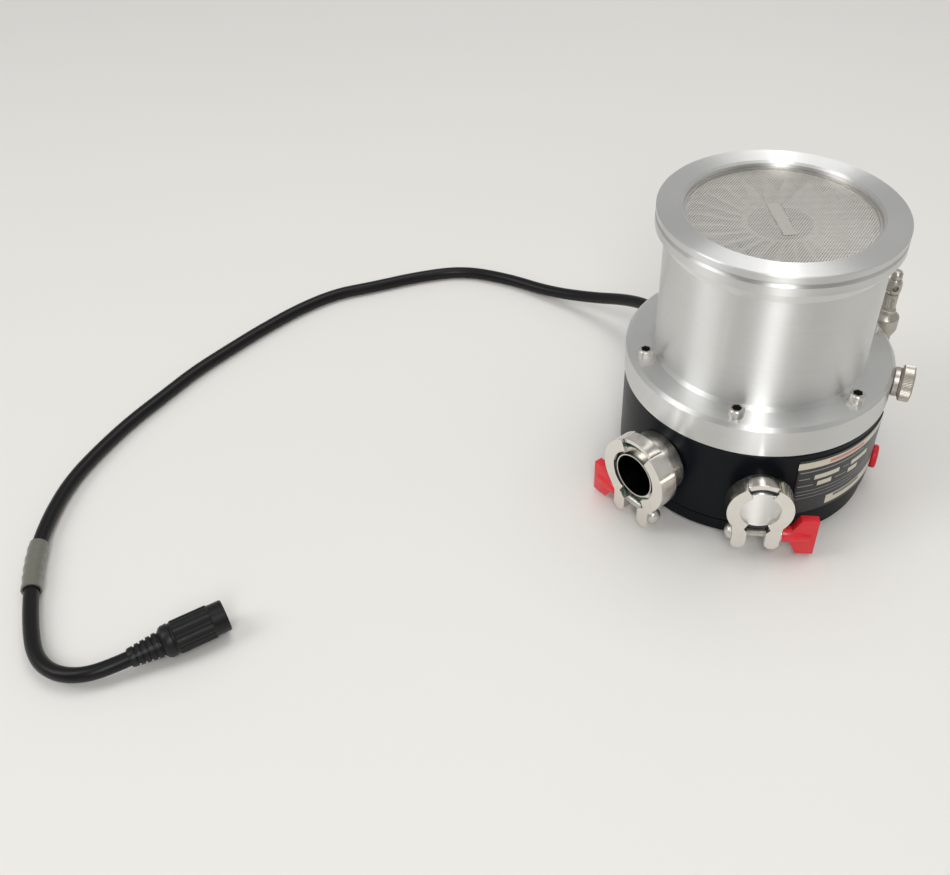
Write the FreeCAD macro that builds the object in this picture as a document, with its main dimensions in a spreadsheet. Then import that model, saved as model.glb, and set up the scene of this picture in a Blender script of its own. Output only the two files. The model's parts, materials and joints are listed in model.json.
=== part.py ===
import FreeCAD, Part
import math
import os
import Sketcher

# Turbomolecular pump with a large clamped inlet flange, two small-flange ports
# on its black base, a third one behind, a vent valve and a captive cable.
# The pump axis is Z, the origin is where the axis meets the rest face, and the
# azimuth of a port is its angle about Z from X.

Vector = FreeCAD.Vector

# Driving dimensions in millimetres, degrees and counts
DIMENSIONS = {
    # Base cover and black base housing
    "cover_radius": 73.5,
    "cover_height": 9.5,
    "cover_chamfer": 2.0,
    "spigot_radius": 70.0,
    "spigot_height": 1.5,
    "bearing_boss_height": 15.0,
    "housing_radius": 75.1,
    "housing_height": 52.0,
    "housing_edge": 0.8,
    "motor_bore_radius": 20.0,
    "motor_bore_height": 57.0,
    "plenum_inner_radius": 30.0,
    "plenum_outer_radius": 53.0,
    "plenum_floor": 9.0,
    "motor_tube_radius": 27.0,
    "motor_tube_height": 29.0,
    "upper_seat_depth": 8.0,
    "shaft_passage_radius": 9.0,
    "rib_radius": 7.0,
    "rib_bore_radius": 3.0,
    # Aluminium envelope
    "flange_radius": 75.6,
    "flange_thickness": 19.0,
    "flange_chamfer": 2.0,
    "neck_radius": 59.4,
    "neck_foot": 2.0,
    "inlet_height": 168.0,
    "inlet_radius": 65.0,
    "inlet_flange_depth": 18.5,
    "rim_depth": 11.0,
    "groove_radius": 63.6,
    "groove_bottom_depth": 5.0,
    "groove_top_depth": 3.8,
    "lip_chamfer": 0.5,
    "mouth_radius": 51.0,
    "mouth_chamfer": 1.2,
    "screen_depth": 5.0,
    "stack_bore_radius": 50.0,
    "stack_ledge_radius": 48.8,
    "stack_ledge_thickness": 3.0,
    "foot_bore_radius": 56.2,
    "foot_bore_depth": 3.1,
    "seal_circle_radius": 60.0,
    "seal_groove_width": 2.8,
    "seal_groove_depth": 2.6,
    "seal_cord_radius": 1.25,
    # Screws
    "screw_count": 6,
    "screw_circle_radius": 67.0,
    "screw_azimuth": 15.0,
    "screw_radius": 2.5,
    "screw_head_radius": 4.25,
    "screw_head_height": 5.0,
    "screw_length": 30.0,
    "screw_clearance": 0.25,
    "socket_flats": 4.0,
    "cover_socket_flats": 3.0,
    "socket_depth": 2.6,
    "cover_screw_circle": 62.0,
    "cover_screw_azimuth": 30.0,
    "cover_screw_radius": 2.0,
    "cover_screw_head_radius": 3.5,
    "cover_screw_head_height": 4.0,
    "cover_screw_recess": 5.0,
    "cover_screw_length": 12.0,
    # Inlet screen
    "screen_thickness": 0.5,
    "screen_web": 1.6,
    "screen_bar_length": 24.0,
    "screen_windows": 12,
    "ring_width": 1.6,
    "ring_height": 1.4,
    # Rotor
    "stage_height": 9.0,
    "stator_height": 5.0,
    "stage_gap": 0.8,
    "blade_count": 24,
    "blade_thickness": 1.4,
    "blade_angle": 42.0,
    "blade_tip_radius": 48.2,
    "hub_radius": 17.0,
    "hub_step": 5.0,
    "root_ring": 3.0,
    "bell_radius": 33.0,
    "bell_wall": 4.0,
    "bell_bottom": 69.0,
    "bell_roof": 98.0,
    "drag_cylinder_radius": 46.5,
    "drag_wall": 2.5,
    "drag_web_height": 6.0,
    "drag_web_drop": 6.0,
    "stator_wall": 2.8,
    "stator_foot_radius": 56.0,
    "stator_foot_height": 3.0,
    "fit": 0.06,
    "overrun": 1.0,
    # Shaft, bearings and motor
    "shaft_radius": 4.0,
    "motor_shaft_radius": 8.0,
    "shaft_top_gap": 9.0,
    "bearing_outer_radius": 11.0,
    "bearing_height": 7.0,
    "bearing_ring": 2.2,
    "ball_count": 8,
    "magnet_radius": 12.0,
    "magnet_height": 26.0,
    "coil_radius": 12.6,
    "coil_height": 34.0,
    "coil_rise": 12.0,
    "rotor_bolt_head_radius": 6.0,
    "rotor_bolt_head_height": 4.0,
    "rotor_bolt_radius": 2.0,
    "rotor_bolt_length": 16.0,
    # Small-flange joints
    "port_height": 37.0,
    "joint_gap": 1.0,
    "rim_width": 1.3,
    "taper": 0.268,
    "joint_fit": 0.15,
    "large_flange_radius": 20.0,
    "large_neck_radius": 14.6,
    "large_bore_radius": 12.5,
    "large_collar_radius": 18.0,
    "large_clamp_radius": 22.5,
    "large_clamp_width": 11.2,
    "large_bolt_drop": 24.5,
    "large_joint_reach": 16.1,
    "large_azimuth": -135.0,
    "small_flange_radius": 15.0,
    "small_neck_radius": 10.4,
    "small_bore_radius": 8.0,
    "small_collar_radius": 13.5,
    "small_clamp_radius": 18.0,
    "small_clamp_width": 10.5,
    "small_bolt_drop": 20.5,
    "purge_joint_reach": 10.7,
    "purge_azimuth": -90.0,
    "collar_gap": 1.2,
    "collar_clearance": 0.2,
    "port_seat_depth": 12.0,
    "centring_wall": 0.9,
    "centring_reach": 3.8,
    "centring_disc": 2.6,
    "seal_share": 0.75,
    # Clamps
    "clamp_sweep": 124.0,
    "lip_clearance": 0.6,
    "arm_inner": 5.2,
    "arm_start_angle": 40.0,
    "arm_thickness": 8.0,
    "arm_tip": 7.5,
    "bolt_radius": 2.5,
    "bolt_fit": 0.15,
    "bolt_head_radius": 4.4,
    "bolt_head_height": 3.6,
    "bolt_reach": 11.0,
    "link_sweep": 54.0,
    "link_setback": 1.6,
    "link_rise": 0.4,
    "tongue_sweep": 68.0,
    "slot_play": 2.0,
    "tongue_width": 3.4,
    "tongue_wall": 1.2,
    "washer_radius": 4.6,
    "washer_height": 0.8,
    "nut_hub_radius": 4.6,
    "nut_hub_length": 7.0,
    "nut_wing_length": 12.0,
    "large_wing_half": 10.4,
    "small_wing_half": 12.5,
    "nut_wing_thickness": 5.0,
    # Vent valve and blanking plug
    "vent_azimuth": -15.0,
    "vent_height": 74.6,
    "vent_seat_radius": 63.0,
    "vent_shank_radius": 5.0,
    "vent_collar_radius": 8.2,
    "vent_collar_length": 3.0,
    "vent_stem_radius": 3.0,
    "vent_pad_radius": 4.0,
    "vent_pad_thickness": 3.0,
    "vent_chamber_length": 7.0,
    "vent_gas_radius": 1.2,
    "knob_radius": 10.2,
    "knob_length": 7.4,
    "plug_azimuth": -15.0,
    "plug_height": 18.0,
    "plug_radius": 7.0,
    "plug_head": 4.0,
    "plug_shank_radius": 4.5,
    "plug_shank_length": 8.0,
    # Relief valve
    "relief_azimuth": 24.0,
    "relief_reach": 8.6,
    "relief_height": 48.0,
    "relief_shank_radius": 5.0,
    "relief_riser_radius": 5.4,
    "relief_rise": 20.0,
    "relief_bore_radius": 1.5,
    "relief_cup_radius": 7.6,
    "relief_cup_height": 16.0,
    "relief_ring_height": 2.6,
    "relief_ring_step": 0.7,
    "relief_barrel_radius": 3.9,
    "relief_barrel_height": 13.0,
    "relief_head_radius": 4.4,
    "relief_head_height": 10.0,
    "relief_nut_radius": 3.2,
    "relief_nut_height": 5.0,
    # Nameplate
    "plate_azimuth": -48.0,
    "plate_sweep": 54.0,
    "plate_height": 40.0,
    "plate_bottom": 18.5,
    "plate_thickness": 0.4,
    # Cable
    "cable_azimuth": 120.0,
    "cable_radius": 4.0,
    "gland_radius": 9.0,
    "gland_length": 8.0,
    "gland_thread_radius": 6.9,
    "gland_bore_depth": 6.0,
    "gland_nut_length": 8.0,
    "gland_seat_depth": 8.0,
    "sleeve_wall": 1.0,
    "sleeve_length": 34.0,
    "connector_radius": 9.0,
    "connector_length": 32.0,
    "connector_boot_length": 18.0,
}


class Size:
    """A value with the sheet expression that gives it."""

    def __init__(self, value, text):
        self.value = float(value)
        self.text = text

    def join(self, other, sign, value):
        return Size(value, "(%s %s %s)" % (self.text, sign, other.text))

    def __add__(self, other):
        other = as_size(other)
        return self.join(other, "+", self.value + other.value)

    def __radd__(self, other):
        return as_size(other) + self

    def __sub__(self, other):
        other = as_size(other)
        return self.join(other, "-", self.value - other.value)

    def __rsub__(self, other):
        return as_size(other) - self

    def __mul__(self, other):
        other = as_size(other)
        return self.join(other, "*", self.value * other.value)

    def __rmul__(self, other):
        return as_size(other) * self

    def __truediv__(self, other):
        other = as_size(other)
        return self.join(other, "/", self.value / other.value)

    def __neg__(self):
        return Size(-self.value, "(-1 * %s)" % self.text)


def as_size(value):
    """A plain number as a Size, or the Size itself."""
    if isinstance(value, Size):
        return value
    return Size(value, "(%r)" % float(value))


def cosine(angle):
    angle = as_size(angle)
    return Size(math.cos(math.radians(angle.value)), "cos(%s)" % angle.text)


def sine(angle):
    angle = as_size(angle)
    return Size(math.sin(math.radians(angle.value)), "sin(%s)" % angle.text)


class Sheet:
    """The document's spreadsheet, with each dimension as an attribute."""

    def __init__(self, owner, values):
        self.cells = owner.addObject("Spreadsheet::Sheet", "Dimensions")
        for row, (alias, value) in enumerate(values.items(), start=1):
            self.cells.set("A%d" % row, alias)
            self.cells.set("B%d" % row, repr(value))
            self.cells.setAlias("B%d" % row, alias)
            setattr(self, alias, Size(value, "Dimensions." + alias))


document = FreeCAD.newDocument("turbomolecular_pump")
size = Sheet(document, DIMENSIONS)
document.recompute()
pieces = []


def bind(thing, path, value):
    """Give a property or constraint its sheet expression."""
    if "Dimensions" in value.text:
        thing.setExpression(path, value.text)


def place(piece, x=0, y=0, z=0, turn=0):
    """Bind a piece's placement to a position and a turn about Z."""
    values = [as_size(v) for v in (x, y, z, turn)]
    text = "placement(vector(%s; %s; %s); rotation(%s; 0; 0))"
    piece.setExpression("Placement", text % tuple(v.text for v in values))


def new_body(name):
    """A body whose label names its file."""
    body = document.addObject("PartDesign::Body", name)
    body.Label = name
    pieces.append(body)
    return body


def port_body(name, azimuth, height):
    """A body whose X runs outward along a port's axis."""
    body = new_body(name)
    place(body, z=height, turn=azimuth)
    return body


def origin_item(body, role):
    return [item for item in body.Origin.OriginFeatures if item.Role == role][0]


def add_sketch(body, name, role, distance=None):
    """A sketch on an origin plane, or at a distance along its normal."""
    sketch = body.newObject("Sketcher::SketchObject", name)
    sketch.AttachmentSupport = [(origin_item(body, role), "")]
    sketch.MapMode = "FlatFace"
    if distance is not None:
        text = "placement(vector(0; 0; %s); rotation(0; 0; 0))"
        sketch.setExpression("AttachmentOffset", text % as_size(distance).text)
    return sketch


def radial_sketch(body, name, azimuth, radius):
    """A sketch that faces outward at an azimuth and a radius from Z."""
    sketch = body.newObject("Sketcher::SketchObject", name)
    sketch.AttachmentSupport = [(origin_item(body, "YZ_Plane"), "")]
    sketch.MapMode = "FlatFace"
    across = radius * sine(azimuth)
    along = radius * cosine(azimuth)
    text = "placement(vector(%s; 0; %s); rotation(vector(0; 1; 0); %s))"
    sketch.setExpression(
        "AttachmentOffset", text % (across.text, along.text, azimuth.text))
    return sketch


def fix_point(sketch, constraints, bindings, item, end, x, y):
    """Constrain one point of an item to a bound position."""
    for kind, value, axis in (("DistanceX", x, -2), ("DistanceY", y, -1)):
        if value.text == "(0.0)":
            constraints.append(Sketcher.Constraint("PointOnObject", item, end, axis))
        else:
            bindings.append((len(constraints), value))
            constraints.append(
                Sketcher.Constraint(kind, -1, 1, item, end, value.value))


def outline(sketch, points):
    """A closed outline of straight lines through bound corners."""
    corners = [(as_size(x), as_size(y)) for x, y in points]
    count = len(corners)
    spots = [Vector(x.value, y.value, 0) for x, y in corners]
    lines = [Part.LineSegment(spots[i], spots[(i + 1) % count]) for i in range(count)]
    sketch.addGeometry(lines, False)
    constraints = []
    bindings = []
    for i in range(count):
        constraints.append(Sketcher.Constraint("Coincident", i, 2, (i + 1) % count, 1))
    for i, (x, y) in enumerate(corners):
        fix_point(sketch, constraints, bindings, i, 1, x, y)
    sketch.addConstraint(constraints)
    for index, value in bindings:
        bind(sketch, "Constraints[%d]" % index, value)
    return sketch


def circles(sketch, items):
    """Circles given as x, y and radius."""
    for number, (x, y, radius) in enumerate(items):
        x, y, radius = as_size(x), as_size(y), as_size(radius)
        centre = Vector(x.value, y.value, 0)
        sketch.addGeometry(Part.Circle(centre, Vector(0, 0, 1), radius.value), False)
        first = sketch.ConstraintCount
        constraints = [Sketcher.Constraint("Radius", number, radius.value)]
        bindings = [(0, radius)]
        fix_point(sketch, constraints, bindings, number, 3, x, y)
        sketch.addConstraint(constraints)
        for index, value in bindings:
            bind(sketch, "Constraints[%d]" % (first + index), value)
    return sketch


def revolve(body, name, sketch, axis="V_Axis", sweep=None):
    """Turn a sketch about one of its axes, fully or evenly about its plane."""
    feature = body.newObject("PartDesign::Revolution", name)
    feature.Profile = sketch
    feature.ReferenceAxis = (sketch, [axis])
    feature.Angle = 360
    if sweep is not None:
        feature.Midplane = True
        feature.Angle = sweep.value
        bind(feature, "Angle", sweep)
    return feature


def pad(body, name, sketch, length, middle=False, back=False):
    feature = body.newObject("PartDesign::Pad", name)
    feature.Profile = sketch
    feature.Length = length.value
    feature.Midplane = middle
    feature.Reversed = back
    bind(feature, "Length", length)
    return feature


def pocket(body, name, sketch, length, middle=False, forward=False):
    """A cut against the sketch's normal, or forward along it."""
    feature = body.newObject("PartDesign::Pocket", name)
    feature.Profile = sketch
    feature.Length = length.value
    feature.Midplane = middle
    feature.Reversed = forward
    bind(feature, "Length", length)
    return feature


def groove(body, name, sketch, axis="V_Axis", sweep=None):
    feature = body.newObject("PartDesign::Groove", name)
    feature.Profile = sketch
    feature.ReferenceAxis = (sketch, [axis])
    feature.Angle = 360
    if sweep is not None:
        feature.Midplane = True
        feature.Angle = sweep.value
        bind(feature, "Angle", sweep)
    return feature


def around(body, name, originals, count):
    """Repeat features evenly about Z."""
    pattern = body.newObject("PartDesign::PolarPattern", name)
    pattern.Originals = originals
    pattern.Axis = (origin_item(body, "Z_Axis"), [""])
    pattern.Angle = 360
    pattern.Occurrences = int(count.value)
    bind(pattern, "Occurrences", count)
    body.Tip = pattern
    return pattern


def box_outline(sketch, x_low, x_high, y_low, y_high):
    corners = [(x_low, y_low), (x_high, y_low), (x_high, y_high), (x_low, y_high)]
    return outline(sketch, corners)


def turned(name, points):
    """A body turned about Z from radius and height pairs."""
    body = new_body(name)
    sketch = outline(add_sketch(body, name + "_profile", "XZ_Plane"), points)
    revolve(body, name + "_turning", sketch)
    return body


def turned_on_port(name, points, azimuth, height):
    """A body turned about a port's axis from reach and radius pairs."""
    body = port_body(name, azimuth, height)
    sketch = outline(add_sketch(body, name + "_profile", "XZ_Plane"), points)
    revolve(body, name + "_turning", sketch, "H_Axis")
    return body


def ring_points(inner, outer, low, high):
    return [(inner, low), (outer, low), (outer, high), (inner, high)]


def radial_hole(body, name, azimuth, height, radius, start, length):
    """A round hole that runs outward from a radius."""
    sketch = circles(radial_sketch(body, name + "_circle", azimuth, start), [(0, height, radius)])
    return pocket(body, name, sketch, length, forward=True)


# Heights and radii that several pieces share
housing_bottom = size.cover_height + size.spigot_height
housing_top = housing_bottom + size.housing_height
flange_top = housing_top + size.flange_thickness
tube_top = housing_top + size.motor_tube_height
screen_seat = size.inlet_height - size.screen_depth
stack_top = screen_seat - size.stack_ledge_thickness
stack_pitch = size.stage_height + 2 * size.stage_gap + size.stator_height
boss_top = housing_bottom + size.bearing_boss_height
port_seat = size.housing_radius - size.port_seat_depth
plug_seat = size.housing_radius - size.plug_shank_length
stack_outer = size.stack_bore_radius - size.fit
running_bore = size.blade_tip_radius + size.stage_gap / 2


def stage_bottom(index):
    """Lower face of a rotor stage, counted from the inlet."""
    return stack_top - size.stage_gap - index * stack_pitch - size.stage_height


def hub_radius(index):
    return size.hub_radius + index * size.hub_step


STAGES = 3


def make_cover():
    chamfer = size.cover_chamfer
    seat = boss_top - size.bearing_height
    body = turned("base_cover", [
        (0, 0),
        (size.cover_radius - chamfer, 0),
        (size.cover_radius, chamfer),
        (size.cover_radius, size.cover_height),
        (size.spigot_radius, size.cover_height),
        (size.spigot_radius, housing_bottom),
        (size.motor_bore_radius - size.fit, housing_bottom),
        (size.motor_bore_radius - size.fit, boss_top),
        (size.bearing_outer_radius + size.fit, boss_top),
        (size.bearing_outer_radius + size.fit, seat),
        (size.shaft_radius + size.bearing_ring, seat),
        (size.shaft_radius + size.bearing_ring, seat - size.bearing_ring),
        (0, seat - size.bearing_ring),
    ])
    spot = (size.cover_screw_circle * cosine(size.cover_screw_azimuth),
            size.cover_screw_circle * sine(size.cover_screw_azimuth))
    recess = circles(add_sketch(body, "recess_circle", "XY_Plane"),
                     [(spot[0], spot[1], size.cover_screw_head_radius + size.screw_clearance)])
    recess_cut = pocket(body, "recess", recess, size.cover_screw_recess, forward=True)
    hole = circles(add_sketch(body, "hole_circle", "XY_Plane"),
                   [(spot[0], spot[1], size.cover_screw_radius + size.screw_clearance)])
    hole_cut = pocket(body, "hole", hole, housing_bottom, forward=True)
    around(body, "cover_holes", [recess_cut, hole_cut], size.screw_count)


def make_housing():
    edge = size.housing_edge
    radius = size.housing_radius
    floor = housing_bottom + size.plenum_floor
    bore_top = housing_bottom + size.motor_bore_height
    seat = tube_top - size.upper_seat_depth
    body = turned("base_housing", [
        (size.motor_bore_radius, housing_bottom),
        (radius - edge, housing_bottom),
        (radius, housing_bottom + edge),
        (radius, housing_top - edge),
        (radius - edge, housing_top),
        (size.plenum_outer_radius, housing_top),
        (size.plenum_outer_radius, floor),
        (size.plenum_inner_radius, floor),
        (size.plenum_inner_radius, housing_top),
        (size.motor_tube_radius, housing_top),
        (size.motor_tube_radius, tube_top),
        (size.bearing_outer_radius + size.fit, tube_top),
        (size.bearing_outer_radius + size.fit, seat),
        (size.shaft_passage_radius, seat),
        (size.shaft_passage_radius, bore_top),
        (size.motor_bore_radius, bore_top),
    ])
    # Two ribs carry the purge gas and the wires across the plenum
    rib_start = size.plenum_inner_radius - size.overrun
    rib_length = size.plenum_outer_radius - size.plenum_inner_radius + 2 * size.overrun
    passage_start = size.motor_bore_radius - size.overrun
    passage_length = port_seat - passage_start + size.overrun
    for name, azimuth in (("purge", size.purge_azimuth), ("wire", size.cable_azimuth)):
        rib = circles(radial_sketch(body, name + "_rib_circle", azimuth, rib_start),
                      [(0, size.port_height, size.rib_radius)])
        pad(body, name + "_rib", rib, rib_length)
        radial_hole(body, name + "_passage", azimuth, size.port_height, size.rib_bore_radius,
                    passage_start, passage_length)
    seats = (
        ("backing", size.large_azimuth, size.large_neck_radius, port_seat),
        ("purge_port", size.purge_azimuth, size.small_neck_radius, port_seat),
        ("gland", size.cable_azimuth, size.gland_thread_radius,
         size.housing_radius - size.gland_seat_depth),
    )
    for name, azimuth, seat_radius, start in seats:
        radial_hole(body, name + "_seat", azimuth, size.port_height,
                    seat_radius + size.fit, start, size.port_seat_depth + size.overrun)
    radial_hole(body, "backing_passage", size.large_azimuth, size.port_height,
                size.large_bore_radius, size.plenum_outer_radius - size.overrun,
                port_seat - size.plenum_outer_radius + 2 * size.overrun)
    radial_hole(body, "plug_hole", size.plug_azimuth, size.plug_height,
                size.plug_shank_radius + size.fit, plug_seat, size.plug_shank_length + size.overrun)
    radial_hole(body, "relief_seat", size.relief_azimuth, size.relief_height,
                size.relief_shank_radius + size.fit, plug_seat,
                size.plug_shank_length + size.overrun)
    radial_hole(body, "relief_passage", size.relief_azimuth, size.relief_height,
                size.relief_bore_radius, size.plenum_outer_radius - size.overrun,
                plug_seat - size.plenum_outer_radius + 2 * size.overrun)
    thread = circles(add_sketch(body, "thread_circle", "XY_Plane", housing_top),
                     [(size.screw_circle_radius * cosine(size.screw_azimuth),
                       size.screw_circle_radius * sine(size.screw_azimuth),
                       size.screw_radius + size.fit)])
    thread_cut = pocket(body, "thread", thread, size.screw_length - size.flange_thickness + size.overrun)
    around(body, "threads", [thread_cut], size.screw_count)
    lower = circles(add_sketch(body, "lower_thread_circle", "XY_Plane", housing_bottom),
                    [(size.cover_screw_circle * cosine(size.cover_screw_azimuth),
                      size.cover_screw_circle * sine(size.cover_screw_azimuth),
                      size.cover_screw_radius + size.fit)])
    lower_depth = size.cover_screw_length + size.cover_screw_recess - housing_bottom + size.overrun
    lower_cut = pocket(body, "lower_thread", lower, lower_depth, forward=True)
    around(body, "lower_threads", [lower_cut], size.screw_count)


def make_envelope():
    top = size.inlet_height
    rim_bottom = top - size.rim_depth
    groove_low = top - size.groove_bottom_depth
    groove_high = top - size.groove_top_depth
    groove_rise = size.inlet_radius - size.groove_radius
    seal_in = size.seal_circle_radius - size.seal_groove_width / 2
    seal_out = size.seal_circle_radius + size.seal_groove_width / 2
    foot_top = housing_top + size.foot_bore_depth
    edge = size.housing_edge
    body = turned("pump_envelope", [
        (size.foot_bore_radius, housing_top),
        (seal_in, housing_top),
        (seal_in, housing_top + size.seal_groove_depth),
        (seal_out, housing_top + size.seal_groove_depth),
        (seal_out, housing_top),
        (size.flange_radius - edge, housing_top),
        (size.flange_radius, housing_top + edge),
        (size.flange_radius, flange_top - size.flange_chamfer),
        (size.flange_radius - size.flange_chamfer, flange_top),
        (size.neck_radius + size.neck_foot, flange_top),
        (size.neck_radius, flange_top + size.neck_foot),
        (size.neck_radius, top - size.inlet_flange_depth),
        (size.inlet_radius, rim_bottom),
        (size.inlet_radius, groove_low - groove_rise),
        (size.groove_radius, groove_low),
        (size.groove_radius, groove_high),
        (size.inlet_radius, groove_high),
        (size.inlet_radius, top - size.lip_chamfer),
        (size.inlet_radius - size.lip_chamfer, top),
        (size.mouth_radius + size.mouth_chamfer, top),
        (size.mouth_radius, top - size.mouth_chamfer),
        (size.mouth_radius, screen_seat),
        (size.stack_ledge_radius, screen_seat),
        (size.stack_ledge_radius, stack_top),
        (size.stack_bore_radius, stack_top),
        (size.stack_bore_radius, foot_top),
        (size.foot_bore_radius, foot_top),
    ])
    bore = circles(add_sketch(body, "screw_hole_circle", "XY_Plane", flange_top),
                   [(size.screw_circle_radius * cosine(size.screw_azimuth),
                     size.screw_circle_radius * sine(size.screw_azimuth),
                     size.screw_radius + size.screw_clearance)])
    bore_cut = pocket(body, "screw_hole", bore, size.flange_thickness)
    around(body, "screw_holes", [bore_cut], size.screw_count)
    radial_hole(body, "vent_seat", size.vent_azimuth, size.vent_height,
                size.vent_shank_radius + size.fit, size.vent_seat_radius,
                size.flange_radius - size.vent_seat_radius + size.overrun)
    radial_hole(body, "vent_passage", size.vent_azimuth, size.vent_height, size.vent_gas_radius,
                size.stack_bore_radius - size.overrun,
                size.vent_seat_radius - size.stack_bore_radius + 2 * size.overrun)


def make_envelope_seal():
    body = new_body("envelope_seal")
    sketch = circles(add_sketch(body, "cord_circle", "XZ_Plane"),
                     [(size.seal_circle_radius, housing_top + size.seal_cord_radius,
                       size.seal_cord_radius)])
    revolve(body, "cord", sketch)


def hexagon(sketch, x, flats):
    """A hexagon across flats, centred on the sketch's X axis."""
    reach = flats / math.sqrt(3)
    corners = [(x + reach * cosine(60 * k + 30), reach * sine(60 * k + 30)) for k in range(6)]
    return outline(sketch, corners)


def make_screws(name, turn, circle, face, sign, sizes):
    """Socket screws on a circle, heads beyond a face in the sign's direction."""
    shank_radius, shank_length, head_radius, head_height, flats, depth = sizes
    body = new_body(name)
    place(body, turn=turn)
    upward = sign > 0
    head = circles(add_sketch(body, "head_circle", "XY_Plane", face), [(circle, 0, head_radius)])
    head_pad = pad(body, "head", head, head_height, back=not upward)
    shank = circles(add_sketch(body, "shank_circle", "XY_Plane", face), [(circle, 0, shank_radius)])
    shank_pad = pad(body, "shank", shank, shank_length, back=upward)
    end = face + sign * head_height
    socket = hexagon(add_sketch(body, "socket_outline", "XY_Plane", end), circle, flats)
    socket_cut = pocket(body, "socket", socket, depth, forward=not upward)
    around(body, "screws", [head_pad, shank_pad, socket_cut], size.screw_count)


def make_screen():
    body = new_body("inlet_screen")
    sheet_radius = size.mouth_radius - size.fit
    disc = circles(add_sketch(body, "sheet_circle", "XY_Plane", screen_seat), [(0, 0, sheet_radius)])
    pad(body, "sheet", disc, size.screen_thickness)
    inner = size.screen_bar_length / 2 + size.screen_web
    middle = (size.stack_ledge_radius + inner) / 2
    windows = (
        ("inner", inner, middle - size.screen_web),
        ("outer", middle, size.stack_ledge_radius - size.screen_web),
    )
    cuts = []
    half = as_size(180) / size.screen_windows
    for name, low, high in windows:
        gap = size.screen_web / 2
        corners = [
            (low * cosine(half), gap - low * sine(half)),
            (high * cosine(half), gap - high * sine(half)),
            (high, 0),
            (high * cosine(half), high * sine(half) - gap),
            (low * cosine(half), low * sine(half) - gap),
            (low, 0),
        ]
        sketch = outline(add_sketch(body, name + "_window_outline", "XY_Plane", screen_seat), corners)
        cuts.append(pocket(body, name + "_window", sketch, size.screen_thickness, forward=True))
    around(body, "windows", cuts, size.screen_windows)
    outer = size.mouth_radius - size.fit
    low = screen_seat + size.screen_thickness
    turned("screen_retaining_ring", ring_points(outer - size.ring_width, outer, low, low + size.ring_height))


def blade_outline(sketch, bottom, height, lean):
    """One blade's section, leaning to either side by the lean's sign."""
    shift = lean * height / 2 * cosine(size.blade_angle) / sine(size.blade_angle)
    half = size.blade_thickness / 2 / sine(size.blade_angle)
    top = bottom + height
    return outline(sketch, [
        (-shift - half, bottom),
        (-shift + half, bottom),
        (shift + half, top),
        (shift - half, top),
    ])


def add_blades(body, bottom, height, root, ring, tip, lean):
    """Leaning blades that start inside a root ring of the given width."""
    overlap = ring * 0.8
    section = blade_outline(
        add_sketch(body, "blade_outline", "YZ_Plane", root - overlap), bottom, height, lean)
    blade = pad(body, "blade", section, tip - root + overlap)
    around(body, "blades", [blade], size.blade_count)


def make_rotor():
    last = STAGES - 1
    stage_top = stage_bottom(0) + size.stage_height
    shaft_top = stage_top - size.shaft_top_gap
    head_floor = stage_top - size.rotor_bolt_head_height
    points = [
        (size.bell_radius - size.bell_wall, size.bell_bottom),
        (size.bell_radius, size.bell_bottom),
        (size.bell_radius, stage_bottom(last)),
    ]
    for index in range(last, 0, -1):
        points.append((hub_radius(index), stage_bottom(index)))
        points.append((hub_radius(index), stage_bottom(index - 1)))
    points += [
        (hub_radius(0), stage_bottom(0)),
        (hub_radius(0), stage_top),
        (size.rotor_bolt_head_radius + size.fit, stage_top),
        (size.rotor_bolt_head_radius + size.fit, head_floor),
        (size.rotor_bolt_radius + size.fit, head_floor),
        (size.rotor_bolt_radius + size.fit, shaft_top),
        (size.shaft_radius + size.fit, shaft_top),
        (size.shaft_radius + size.fit, size.bell_roof),
        (size.bell_radius - size.bell_wall, size.bell_roof),
    ]
    turned("rotor_hub", points)
    for index in range(STAGES):
        inner = hub_radius(index) + size.fit
        root = hub_radius(index) + size.root_ring
        bottom = stage_bottom(index)
        body = turned("rotor_stage_%d" % (index + 1),
                      ring_points(inner, root, bottom, bottom + size.stage_height))
        add_blades(body, bottom, size.stage_height, root, size.root_ring, size.blade_tip_radius, 1)
    web_top = stage_bottom(last) - size.drag_web_drop
    web_bottom = web_top - size.drag_web_height
    drag_inner = size.drag_cylinder_radius - size.drag_wall
    turned("drag_rotor", [
        (size.bell_radius + size.fit, web_bottom),
        (drag_inner, web_bottom),
        (drag_inner, size.bell_bottom),
        (size.drag_cylinder_radius, size.bell_bottom),
        (size.drag_cylinder_radius, web_top),
        (size.bell_radius + size.fit, web_top),
    ])
    lower = boss_top + size.bearing_ring
    upper = tube_top - size.upper_seat_depth - size.bearing_ring
    thread = size.rotor_bolt_length - (head_floor - shaft_top)
    turned("rotor_shaft", [
        (0, boss_top - size.bearing_height),
        (size.shaft_radius, boss_top - size.bearing_height),
        (size.shaft_radius, lower),
        (size.motor_shaft_radius, lower),
        (size.motor_shaft_radius, upper),
        (size.shaft_radius, upper),
        (size.shaft_radius, shaft_top),
        (size.rotor_bolt_radius + size.fit, shaft_top),
        (size.rotor_bolt_radius + size.fit, shaft_top - thread - size.overrun),
        (0, shaft_top - thread - size.overrun),
    ])
    body = turned("rotor_bolt", [
        (0, head_floor - size.rotor_bolt_length),
        (size.rotor_bolt_radius, head_floor - size.rotor_bolt_length),
        (size.rotor_bolt_radius, head_floor),
        (size.rotor_bolt_head_radius, head_floor),
        (size.rotor_bolt_head_radius, stage_top),
        (0, stage_top),
    ])
    socket = hexagon(add_sketch(body, "socket_outline", "XY_Plane", stage_top), as_size(0), size.socket_flats)
    pocket(body, "socket", socket, size.socket_depth)


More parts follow.
